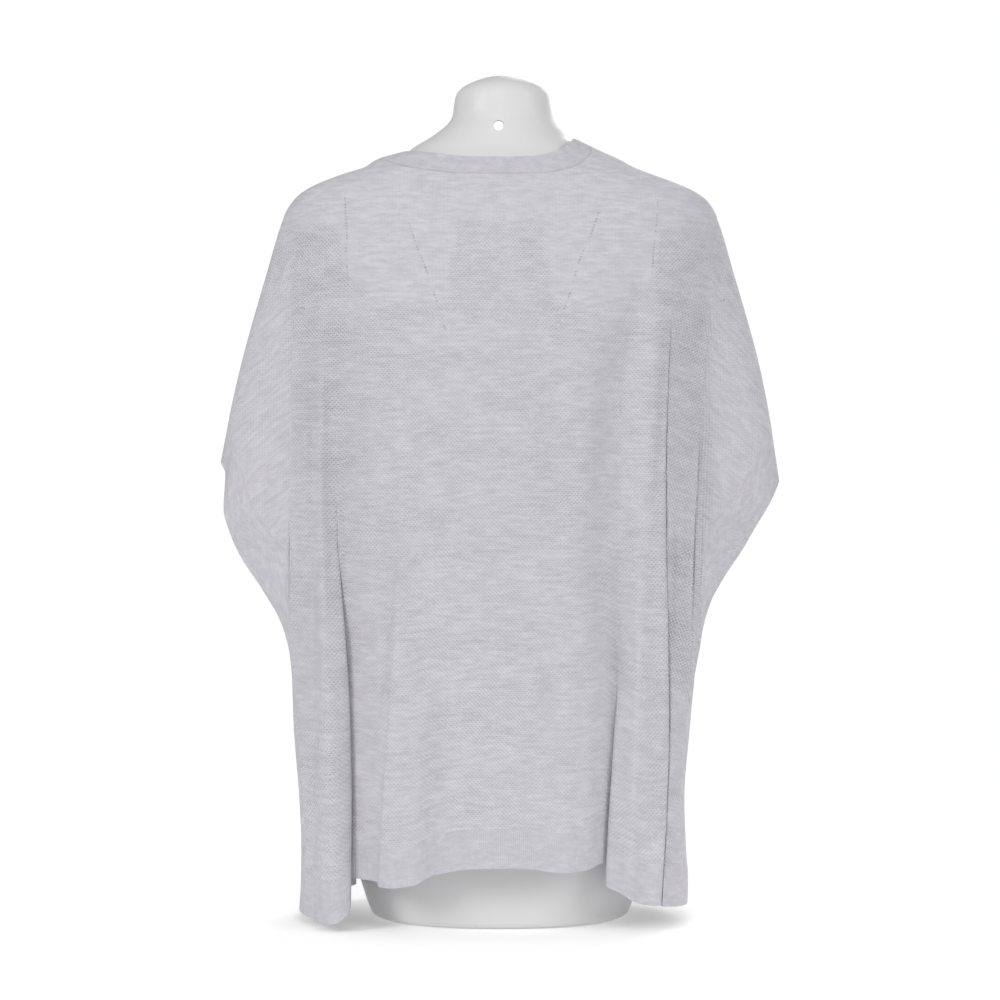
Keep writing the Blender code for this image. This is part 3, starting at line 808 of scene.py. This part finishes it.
def makePanel(side, name, material):
    columns, rows = sum(panelGrid[side]), panelGrid["rows"]
    bm, column, row = gridMesh(columns, rows)
    height = rowHeight(side, row / rows * cloth["lastRow"], column)
    across = columnAcross(side, column, height)
    points = clothPoints(side, across, height)
    placeVerts(bm, points)

    # places in the knitted piece: along a course from the middle, and along a wale
    order = np.lexsort((column, row))
    grid = points[order].reshape(rows + 1, columns + 1, 3)
    sideways, inward = (np.diff(grid[:, :, axis], axis=1) for axis in (0, 1))
    steps = np.hypot(sideways, knitLay["depthShare"] * inward)
    out = (np.abs(grid[:, 1:, 0]) - knitLay["closerFrom"]) / knitLay["closerOver"]
    steps *= 1 - knitLay["closer"] * ease(out)
    course = np.pad(np.cumsum(steps, axis=1), ((0, 0), (1, 0)))
    offMiddle = np.abs(across) + np.abs(height - knitLay["middleHeight"])
    middleColumn = int(column[np.argmin(offMiddle)])
    course -= course[:, middleColumn : middleColumn + 1]
    alongCourse = np.empty(len(order))
    alongCourse[order] = course.ravel()
    dip = read(hemRows, sideName[side], across) - cloth["hemLevel"]
    above = np.clip((height - cloth["hemLevel"]) / knitLay["dipOver"], 0, 1)
    alongWale = height - dip * (1 - above) ** knitLay["dipPower"]
    body = np.stack([alongCourse, alongWale], axis=-1)

    starts = np.cumsum((0,) + panelGrid[side])
    leftColumn, stripColumn, rightColumn = starts[1], starts[-3], starts[-2]
    place = (across, height, row, column)
    strip = turnKnit(body, *place, stripColumn, right, turnedKnit["strip"])
    wing = turnKnit(body, *place, leftColumn, left, turnedKnit["sleeve"])
    wing = turnKnit(wing, *place, rightColumn, right, turnedKnit["sleeve"])

    def zoneOf(face):
        middle = sum(column[v.index] for v in face.verts) / len(face.verts)
        if middle < leftColumn or middle > rightColumn:
            return 2
        return 1 if middle > stripColumn else 0

    addUv(bm, "knit", (body, strip, wing), zoneOf)
    addUv(bm, "marks", (markPlaces(side * -across, height),))
    top = read(zones["top"], "height", np.abs(across))
    opened = ease((top - height) / np.interp(np.abs(across), *zones["edgeWidth"]) + 0.5)
    inner, outer = zones["sideReach"]
    innerFade, outerFade = zones["sideFades"]
    atSide = ease((np.abs(across) - inner) / innerFade)
    atSide *= ease((outer - np.abs(across)) / outerFade)
    opened = opened * (1 + zones["sideShare"] * atSide)
    out, outFade = zones["sleeveOut"]
    top, topFade = zones["sleeveBelow"]
    onSleeve = ease((np.abs(across) - out) / outFade) * ease((top - height) / topFade)
    addFloat(bm, "openwork", opened * (1 + (zones["sleeveShare"] - 1) * onSleeve))
    return wallPiece(bm, name, material, cloth["wall"], side)


def bandPlaces(points, column, row, depth):  # along a band's seam, and over its depth
    seam = points[row == 0][np.argsort(column[row == 0])]
    steps = np.linalg.norm(np.diff(seam, axis=0), axis=1)
    lengths = np.concatenate([[0], np.cumsum(steps)])[column.astype(int)]
    begin, width = depth
    return np.stack([lengths, begin + row / row.max() * width], axis=-1)


# a band's depth begins at 0 where its seam shows as a line, and is far from it elsewhere
# the hem band is darkened with painted shade, against the floor's light that makes it bright
hemBand = {"rows": 14, "depth": (1, -0.038), "wall": 0.0017, "bandShade": 0.10}


def makeHemBand(side, name, material):
    columns, rows = sum(panelGrid[side]), hemBand["rows"]
    bm, column, row = gridMesh(columns, rows)
    height = hemSeam(side, column) - cloth["hemWidth"] * row / rows
    across = columnAcross(side, column, height)
    points = clothPoints(side, across, height)
    placeVerts(bm, points)
    addUv(bm, "knit", (bandPlaces(points, column, row, hemBand["depth"]),))
    addFloat(bm, "bandShade", hemBand["bandShade"])
    return wallPiece(bm, name, material, hemBand["wall"], side)


def ringHalves(column, half):  # the back's half, and then the front's on the way back
    yield back, column <= half, column / half
    yield front, column > half, 2 - column / half


# the neckband is darkened a little as well
neckband = {"columns": 190, "rows": 8, "depth": (0, 0.016), "wall": 0.0017, "bandShade": 0.05}


def makeNeckband(name, material):
    half, rows = neckband["columns"], neckband["rows"]
    bm, column, row = gridMesh(2 * half, rows)
    points = np.zeros((len(column), 3))
    for side, mine, place in ringHalves(column, half):
        panelColumn = place[mine] * sum(panelGrid[side])
        along = alongShoulder(side, panelColumn)
        low = neckSeam(side, along)
        height = low + (neckHeight(side, along) - low) * row[mine] / rows
        across = columnAcross(side, panelColumn, height)
        points[mine] = clothPoints(side, across, height)
    placeVerts(bm, points)
    addUv(bm, "knit", (bandPlaces(points, column, row, neckband["depth"]),))
    bmesh.ops.remove_doubles(bm, verts=bm.verts, dist=cloth["mergeDistance"])
    addFloat(bm, "bandShade", neckband["bandShade"])
    return wallPiece(bm, name, material, neckband["wall"])


cuff = {"columns": 60, "rows": 12, "depth": (1, 0.035), "wall": 0.0017}


def makeCuff(hand, name, material):
    half, rows = cuff["columns"], cuff["rows"]
    first, last = cloth["cuffRows"]
    bm, column, row = gridMesh(2 * half, rows)
    points = np.zeros((len(column), 3))
    seam, edge = cuffSeamRows[hand], cuffEdgeRows[hand]
    top, bottom = (float(read(panelRows, handName[hand], r)) for r in (first, last))
    for side, mine, place in ringHalves(column, half):
        low = read(panelRows, handName[hand], first + place[mine] * (last - first))
        share = (top - low) / (top - bottom)
        high = edge["height"][-1] + (edge["height"][0] - edge["height"][-1]) * share
        seamPoints = clothPoints(side, hand * panelEdge(hand, low), low)
        edgePoints = clothPoints(side, hand * read(edge, "reach", high), high)
        t = (row[mine] / rows)[:, None]
        points[mine] = seamPoints + (edgePoints - seamPoints) * t
    placeVerts(bm, points)
    addUv(bm, "knit", (bandPlaces(points, column, row, cuff["depth"]),))
    bmesh.ops.remove_doubles(bm, verts=bm.verts, dist=cloth["mergeDistance"])
    return wallPiece(bm, name, material, cuff["wall"])


def connect(tree, socket, value):
    if isinstance(value, bpy.types.NodeSocket):
        tree.links.new(value, socket)
    else:
        socket.default_value = value


def addNode(tree, kind, settings=None, inputs=None):
    made = tree.nodes.new("ShaderNode" + kind)
    for key, value in (settings or {}).items():
        setattr(made, key, value)
    for key, value in (inputs or {}).items():
        connect(tree, made.inputs[key], value)
    return made


def calc(tree, operation, first, second=0.0):
    made = addNode(tree, "Math", {"operation": operation}, {0: first, 1: second})
    return made.outputs[0]


def product(tree, *factors):
    result = factors[0]
    for factor in factors[1:]:
        result = calc(tree, "MULTIPLY", result, factor)
    return result


def mixed(tree, first, firstShare, second, secondShare):
    first, second = product(tree, first, firstShare), product(tree, second, secondShare)
    return calc(tree, "ADD", first, second)


def softStep(tree, value, low, high, out=(0.0, 1.0)):
    made = addNode(
        tree,
        "MapRange",
        {"interpolation_type": "SMOOTHSTEP"},
        {"Value": value, "From Min": low, "From Max": high, "To Min": out[0], "To Max": out[1]},
    )
    return made.outputs["Result"]


def scaledNoise(tree, vector, scale, detail=2.0, roughness=0.5):
    stretched = addNode(tree, "VectorMath", {"operation": "MULTIPLY"}, {0: vector, 1: scale})
    noise = addNode(
        tree,
        "TexNoise",
        {"noise_dimensions": "3D"},
        {"Vector": stretched.outputs[0], "Scale": 1.0, "Detail": detail, "Roughness": roughness},
    )
    return noise.outputs["Fac"]


def colourMix(tree, share, first, second):
    made = addNode(tree, "Mix", {"data_type": "RGBA", "clamp_factor": False})
    connect(tree, made.inputs[0], share)
    connect(tree, made.inputs[6], first)
    connect(tree, made.inputs[7], second)
    return made.outputs[2]


marl = {
    "light": (0.640, 0.633, 0.671, 1.0),
    "dark": (0.522, 0.511, 0.554, 1.0),
    # painted shade: eyelets, stitch gaps, grooves, rib valleys, marks, the bands and the seam line
    # are darkened towards this colour
    "hollow": (0.265, 0.253, 0.284, 1.0),   # between the stitches
    "shader": {
        "Roughness": 0.90,
        "Specular IOR Level": 0.15,
        "Sheen Weight": 0.15,
        "Sheen Roughness": 0.5,
    },
    "streak": ((58.0, 270.0, 1.0), 0.56, 2.0),      # scale, share of the tone, detail
    "bandStreak": ((84.0, 230.0, 1.0), 0.50, 2.0),
    "cloud": ((36.0, 70.0, 1.0), 0.16, 2.0),
    "fine": ((190.0, 700.0, 1.0), 0.28, 1.0),
    "toneRange": (0.31, 0.69),
    "fibreScale": (2600.0, 2600.0, 2600.0),
    "fibreRelief": 0.35,
    "reliefDepth": 0.0004,
}
openwork = {
    "wale": 0.0036,
    "course": 0.00405,
    "slant": 0.75,          # how far each eyelet leans, one row left and the next right
    "eyelet": (0.05, 0.95),
    "knot": (-0.15, -0.95),
    # painted shade darkens the eyelets, and a painted highlight, a negative shade, lightens the
    # knots where the chains cross
    "shade": 0.30,
    "knotShade": -0.15,
    "widerLift": 0.22,      # where it is pulled wider its stitches catch more light
    "patches": (13.0, 34.0, 1.0),
    "patchRange": (0.34, 0.66),
    "patchShare": (0.72, 1.25),
    "knotRelief": 0.5,
    "eyeletRelief": -0.9,
    "stitchRelief": 0.25,
}
jersey = {
    "wale": 0.0036,
    "course": 0.00135,
    "lean": 0.9,
    # painted shade in the gaps among the stitches and in the grooves of the wales
    "between": (0.25, 0.0),
    "shade": 0.07,
    "relief": 0.9,
    "groove": (0.14, 0.0),
    "grooveShade": 0.05,
    "grooveRelief": -0.3,
}
ribs = {
    "pitch": 0.0020,
    # painted shade in the rib valleys
    "low": (0.2, -1.0),
    "shade": 0.06,
    "relief": 0.25,
    "seam": (0.0016, 0.0005),
    "seamShade": 0.26,
}


def newMaterial(name, values):
    made = bpy.data.materials.new(name)
    made.use_nodes = True
    shader = made.node_tree.nodes["Principled BSDF"]
    for socket, value in values.items():
        shader.inputs[socket].default_value = value
    return made, made.node_tree, shader


def knitMaterial(name, plain):
    made, tree, shader = newMaterial(name, marl["shader"])
    knit = addNode(tree, "UVMap", {"uv_map": "knit"}).outputs["UV"]
    object3d = addNode(tree, "TexCoord").outputs["Object"]
    split = addNode(tree, "SeparateXYZ", None, {0: knit})
    u, v = split.outputs["X"], split.outputs["Y"]

    # streaks along the courses, soft clouds and fine flecks
    tone = None
    for key in ("bandStreak" if plain else "streak", "cloud", "fine"):
        scale, share, detail = marl[key]
        part = product(tree, scaledNoise(tree, knit, scale, detail), share)
        tone = part if tone is None else calc(tree, "ADD", tone, part)
    fibres = scaledNoise(tree, object3d, marl["fibreScale"])
    tone = softStep(tree, tone, *marl["toneRange"])
    colour = colourMix(tree, tone, marl["dark"], marl["light"])

    turn = 2 * math.pi
    if plain:
        rib = calc(tree, "SINE", product(tree, u, turn / ribs["pitch"]))
        relief = product(tree, rib, ribs["relief"])
        # painted shade in the rib valleys
        shade = product(tree, softStep(tree, rib, *ribs["low"]), ribs["shade"])
        seam = softStep(tree, v, *ribs["seam"])
        shade = calc(tree, "ADD", shade, product(tree, seam, ribs["seamShade"]))
        # painted shade on the hem band, and a little darkening on the neckband
        bandShade = addNode(tree, "Attribute", {"attribute_name": "bandShade"}).outputs["Fac"]
        shade = calc(tree, "ADD", shade, bandShade)
    else:
        opened = addNode(tree, "Attribute", {"attribute_name": "openwork"}).outputs["Fac"]
        patches = scaledNoise(tree, knit, openwork["patches"])
        patches = softStep(tree, patches, *openwork["patchRange"], openwork["patchShare"])
        opened = product(tree, opened, patches)
        wider = calc(tree, "MAXIMUM", calc(tree, "SUBTRACT", opened, 1.0), 0.0)
        closed = calc(tree, "MAXIMUM", calc(tree, "SUBTRACT", 1.0, opened), 0.0)
        b = product(tree, v, turn / openwork["course"])
        lean = product(tree, calc(tree, "SINE", b), openwork["slant"])
        a = calc(tree, "ADD", product(tree, u, turn / openwork["wale"]), lean)
        lattice = product(tree, calc(tree, "COSINE", a), calc(tree, "COSINE", b))
        eyelet = softStep(tree, lattice, *openwork["eyelet"])
        knot = softStep(tree, lattice, *openwork["knot"])
        wale = calc(tree, "PINGPONG", product(tree, u, 1 / jersey["wale"]), 0.5)
        courses = product(tree, v, 1 / jersey["course"])
        slant = calc(tree, "ADD", courses, product(tree, wale, jersey["lean"]))
        stitch = calc(tree, "PINGPONG", slant, 0.5)
        groove = softStep(tree, wale, *jersey["groove"])
        plainRelief = mixed(tree, stitch, jersey["relief"], groove, jersey["grooveRelief"])
        meshRelief = mixed(tree, knot, openwork["knotRelief"], eyelet, openwork["eyeletRelief"])
        loops = product(tree, stitch, openwork["stitchRelief"])
        meshRelief = calc(tree, "ADD", meshRelief, loops)
        relief = mixed(tree, opened, meshRelief, closed, plainRelief)
        # painted shade in the eyelets and a painted highlight on the knots
        meshShade = mixed(tree, eyelet, openwork["shade"], knot, openwork["knotShade"])
        # painted shade in the gaps among the jersey's stitches and in its grooves
        between = softStep(tree, stitch, *jersey["between"])
        plainShade = mixed(tree, between, jersey["shade"], groove, jersey["grooveShade"])
        shade = mixed(tree, opened, meshShade, closed, plainShade)
        shade = calc(tree, "SUBTRACT", shade, product(tree, wider, openwork["widerLift"]))
        markPlace = addNode(tree, "UVMap", {"uv_map": "marks"}).outputs["UV"]
        markSplit = addNode(tree, "SeparateXYZ", None, {0: markPlace})
        beat = calc(tree, "PINGPONG", markSplit.outputs["Y"], marks["pitch"] / 2)
        away = addNode(tree, "CombineXYZ", None, {0: markSplit.outputs["X"], 1: beat}).outputs[0]
        distance = addNode(tree, "VectorMath", {"operation": "LENGTH"}, {0: away}).outputs["Value"]
        low, high = marks["radius"]
        uneven = scaledNoise(tree, object3d, marks["uneven"])
        uneven = softStep(tree, uneven, *marks["unevenRange"])
        # painted shade in the marks' eyelets
        mark = product(tree, softStep(tree, distance, high, low), uneven)
        shade = calc(tree, "MAXIMUM", shade, product(tree, mark, marks["shade"]))
        relief = calc(tree, "SUBTRACT", relief, mark)
    # painted shade mixes the colour towards the shade colour, and a painted highlight, where shade
    # is negative, mixes it away
    colour = colourMix(tree, shade, colour, marl["hollow"])
    relief = calc(tree, "ADD", relief, product(tree, fibres, marl["fibreRelief"]))
    bump = addNode(
        tree, "Bump", None, {"Strength": 1.0, "Distance": marl["reliefDepth"], "Height": relief}
    )
    tree.links.new(colour, shader.inputs["Base Color"])
    tree.links.new(bump.outputs["Normal"], shader.inputs["Normal"])
    return made


whitePlastic = {
    "light": (0.692, 0.692, 0.698, 1.0),
    "dark": (0.665, 0.665, 0.672, 1.0),
    "shader": {"Roughness": 0.42, "Specular IOR Level": 0.4},
    "cloud": (9.0, 9.0, 9.0),
    "grain": (900.0, 900.0, 900.0),
    "grainStrength": 0.35,
    "grainDepth": 0.0001,
}


def plasticMaterial(name):
    made, tree, shader = newMaterial(name, whitePlastic["shader"])
    object3d = addNode(tree, "TexCoord").outputs["Object"]
    cloud = scaledNoise(tree, object3d, whitePlastic["cloud"], 3.0)
    colour = colourMix(tree, cloud, whitePlastic["dark"], whitePlastic["light"])
    grain = scaledNoise(tree, object3d, whitePlastic["grain"])
    strength, depth = whitePlastic["grainStrength"], whitePlastic["grainDepth"]
    bump = addNode(tree, "Bump", None, {"Strength": strength, "Distance": depth, "Height": grain})
    tree.links.new(colour, shader.inputs["Base Color"])
    tree.links.new(bump.outputs["Normal"], shader.inputs["Normal"])
    return made


# the dress form's sections: reach to each hand, depth behind and before, squareness
formRows = rowsOf(
    "height left right back front square",
    (0.0000, 0.1180, 0.1180, 0.0760, 0.0720, 2.2),
    (0.0040, 0.1265, 0.1265, 0.0840, 0.0800, 2.2),
    (0.0140, 0.1315, 0.1315, 0.0880, 0.0840, 2.2),
    (0.0600, 0.1450, 0.1450, 0.0950, 0.0880, 2.2),
    (0.1200, 0.1560, 0.1560, 0.1010, 0.0910, 2.2),
    (0.1800, 0.1600, 0.1600, 0.1030, 0.0930, 2.2),
    (0.2400, 0.1540, 0.1540, 0.0950, 0.0910, 2.2),
    (0.3100, 0.1340, 0.1340, 0.0780, 0.0840, 2.2),
    (0.3750, 0.1190, 0.1190, 0.0670, 0.0790, 2.2),
    (0.4400, 0.1270, 0.1270, 0.0730, 0.0870, 2.3),
    (0.4900, 0.1380, 0.1380, 0.0830, 0.1010, 2.4),
    (0.5400, 0.1490, 0.1490, 0.0940, 0.1170, 2.5),
    (0.5900, 0.1600, 0.1600, 0.1040, 0.1080, 2.6),
    (0.6250, 0.1740, 0.1740, 0.1060, 0.0970, 2.7),
    (0.6550, 0.1900, 0.1900, 0.1030, 0.0880, 2.8),
    (0.6800, 0.2000, 0.2000, 0.0970, 0.0795, 2.8),
    (0.6980, 0.2040, 0.2040, 0.0913, 0.0712, 2.8),
    (0.7080, 0.2030, 0.2030, 0.0876, 0.0662, 2.8),
    (0.7140, 0.2000, 0.2000, 0.0852, 0.0636, 2.8),
    (0.7190, 0.1955, 0.1935, 0.0830, 0.0616, 2.8),
    (0.7270, 0.1820, 0.1768, 0.0790, 0.0584, 2.8),
    (0.7350, 0.1605, 0.1548, 0.0748, 0.0552, 2.8),
    (0.7430, 0.1365, 0.1340, 0.0699, 0.0527, 2.8),
    (0.7510, 0.1228, 0.1190, 0.0656, 0.0499, 2.8),
    (0.7595, 0.0975, 0.1010, 0.0611, 0.0480, 2.6),
    (0.7680, 0.0855, 0.0825, 0.0580, 0.0474, 2.4),
    (0.7760, 0.0720, 0.0705, 0.0550, 0.0475, 2.2),
    (0.7830, 0.0620, 0.0656, 0.0525, 0.0480, 2.1),
    (0.7920, 0.0518, 0.0582, 0.0493, 0.0486, 2.0),
    (0.8000, 0.0474, 0.0545, 0.0475, 0.0490, 2.0),
    (0.8100, 0.0460, 0.0522, 0.0463, 0.0482, 2.0),
    (0.8200, 0.0440, 0.0502, 0.0443, 0.0464, 2.0),
    (0.8274, 0.0378, 0.0445, 0.0390, 0.0412, 2.0),
    (0.8330, 0.0272, 0.0330, 0.0285, 0.0305, 2.0),
    (0.8368, 0.0170, 0.0200, 0.0175, 0.0190, 2.0),
)
dressForm = {
    "sides": 112,
    "sectionRows": 4,
    "topRows": 4,
    "top": 0.8395,
    "rounder": 4,             # seen from a side the sections are this much less square
    "sharpAngle": 40,
    "holeRadius": 0.005,
    "holeHeight": 0.7905,
    "holeAcross": -0.0014,
    "holeTilt": 8.0,
    "holeSides": 32,
    "holeLength": 0.16,
}


def makeDressForm(name, material):
    sections = len(formRows["height"]) - 1
    sectionRows, topRows = dressForm["sectionRows"], dressForm["topRows"]
    bm, column, row = gridMesh(dressForm["sides"], sections * sectionRows + topRows)
    place = np.clip(row / sectionRows, 0, sections)
    placeRows = {"place": np.arange(sections + 1.0), **formRows}
    height, toLeft, toRight, behind, before, square = (
        read(placeRows, key, place)
        for key in ("height", "left", "right", "back", "front", "square")
    )
    beyond = np.clip((row - sections * sectionRows) / topRows, 0, 1)
    shrink = np.sqrt(np.maximum(0, 1 - beyond))
    height = height + (dressForm["top"] - formRows["height"][-1]) * beyond
    turn = 2 * math.pi * column / dressForm["sides"]
    cosine, sine = np.cos(turn), np.sin(turn)
    depthPower = 2 + (square - 2) / dressForm["rounder"]
    x = np.sign(cosine) * np.abs(cosine) ** (2 / square) * np.where(cosine > 0, toRight, toLeft)
    y = np.sign(sine) * np.abs(sine) ** (2 / depthPower) * np.where(sine > 0, before, behind)
    placeVerts(bm, np.stack([x * shrink, y * shrink, height], axis=-1))
    bmesh.ops.remove_doubles(bm, verts=bm.verts, dist=cloth["mergeDistance"])
    bmesh.ops.contextual_create(bm, geom=[e for e in bm.edges if e.is_boundary])
    bmesh.ops.recalc_face_normals(bm, faces=bm.faces)
    form = newPiece(bm, name, material)

    # the hanging hole through the neck rises towards the front
    bm = bmesh.new()
    radius = dressForm["holeRadius"]
    bmesh.ops.create_cone(
        bm,
        cap_ends=True,
        segments=dressForm["holeSides"],
        radius1=radius,
        radius2=radius,
        depth=dressForm["holeLength"],
    )
    cutter = newPiece(bm, "holeCutter", material)
    cutter.rotation_euler.x = math.radians(90 + dressForm["holeTilt"])
    cutter.location = (dressForm["holeAcross"], 0, dressForm["holeHeight"])
    hole = form.modifiers.new("hole", "BOOLEAN")
    hole.operation = "DIFFERENCE"
    hole.object = cutter
    applyModifiers(form, dressForm["sharpAngle"])
    bpy.data.objects.remove(cutter)
    return form


openworkKnit = knitMaterial("openworkKnit", plain=False)
plainKnit = knitMaterial("plainKnit", plain=True)
formPlastic = plasticMaterial("formPlastic")

backPanel = makePanel(back, "backPanel", openworkKnit)
frontPanel = makePanel(front, "frontPanel", openworkKnit)
print("panels made")
hemBandBack = makeHemBand(back, "hemBandBack", plainKnit)
hemBandFront = makeHemBand(front, "hemBandFront", plainKnit)
neckbandPiece = makeNeckband("neckband_", plainKnit)
cuffLeft = makeCuff(left, "cuffLeft", plainKnit)
cuffRight = makeCuff(right, "cuffRight", plainKnit)
print("bands made")
formPiece = makeDressForm("dressForm", formPlastic)
print("dress form made")

for piece, node, slot in (
    (backPanel, "back_panel", "openwork_knit"),
    (frontPanel, "front_panel", "openwork_knit"),
    (hemBandBack, "hem_band_back", "plain_knit"),
    (hemBandFront, "hem_band_front", "plain_knit"),
    (neckbandPiece, "neckband", "plain_knit"),
    (cuffLeft, "cuff_left", "plain_knit"),
    (cuffRight, "cuff_right", "plain_knit"),
    (formPiece, "dress_form", "form_plastic"),
):
    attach(piece, "root")
    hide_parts(node)

studio = {
    "floorSize": 1.9,
    "floorHeight": -0.0004,
    "floorPaper": {
        "Base Color": (0.90, 0.90, 0.90, 1.0),
        "Roughness": 0.95,
        "Emission Color": (1, 1, 1, 1),
        "Emission Strength": 0.27,
    },
    "backdrop": 1.02,
    "ambient": 0.36,
    "lights": {               # place, height aimed at, size and power
        "keyLight": ((-2.1, -1.9, 1.6), 0.50, 1.1, 38),
        "fillLight": ((2.4, -1.6, 1.4), 0.50, 1.6, 30),
        "rearLight": ((1.0, 2.5, 1.5), 0.45, 1.8, 46),
        "topLight": ((0, -1.6, 1.7), 0.50, 1.0, 7.5),
    },
    "cameraDistance": 2.6,
    "cameraHeight": 0.416,
    "lens": 93.6,
    "sensor": 36,
}

bm = bmesh.new()
bmesh.ops.create_grid(bm, x_segments=1, y_segments=1, size=studio["floorSize"] / 2)
bmesh.ops.translate(bm, verts=bm.verts, vec=(0, 0, studio["floorHeight"]))
floor = newPiece(bm, "floor", newMaterial("floorPaper", studio["floorPaper"])[0])

world = bpy.data.worlds.new("studioWorld")
bpy.context.scene.world = world
world.use_nodes = True
tree = world.node_tree
background = tree.nodes["Background"]
background.inputs["Color"].default_value = (1, 1, 1, 1)
seen = addNode(tree, "LightPath").outputs["Is Camera Ray"]
levels = {"Value": seen, "To Min": studio["ambient"], "To Max": studio["backdrop"]}
strength = addNode(tree, "MapRange", None, levels)
tree.links.new(strength.outputs["Result"], background.inputs["Strength"])


for name, (place, aim, size, power) in studio["lights"].items():
    lamp = bpy.data.lights.new(name, "AREA")
    lamp.shape = "SQUARE"
    lamp.size = size
    lamp.energy = power
    light = bpy.data.objects.new(name, lamp)
    bpy.context.scene.collection.objects.link(light)
    light.location = place
    toward = Vector((0, 0, aim)) - Vector(place)
    light.rotation_euler = toward.to_track_quat("-Z", "Y").to_euler()

camera = bpy.data.objects.new("camera", bpy.data.cameras.new("camera"))
bpy.context.scene.collection.objects.link(camera)
camera.data.lens = studio["lens"]
camera.data.sensor_width = studio["sensor"]
camera.location = (0, -studio["cameraDistance"], studio["cameraHeight"])
camera.rotation_euler = (math.radians(90), 0, 0)
bpy.context.scene.camera = camera
bpy.context.scene.view_settings.view_transform = "Standard"
print("studio made")
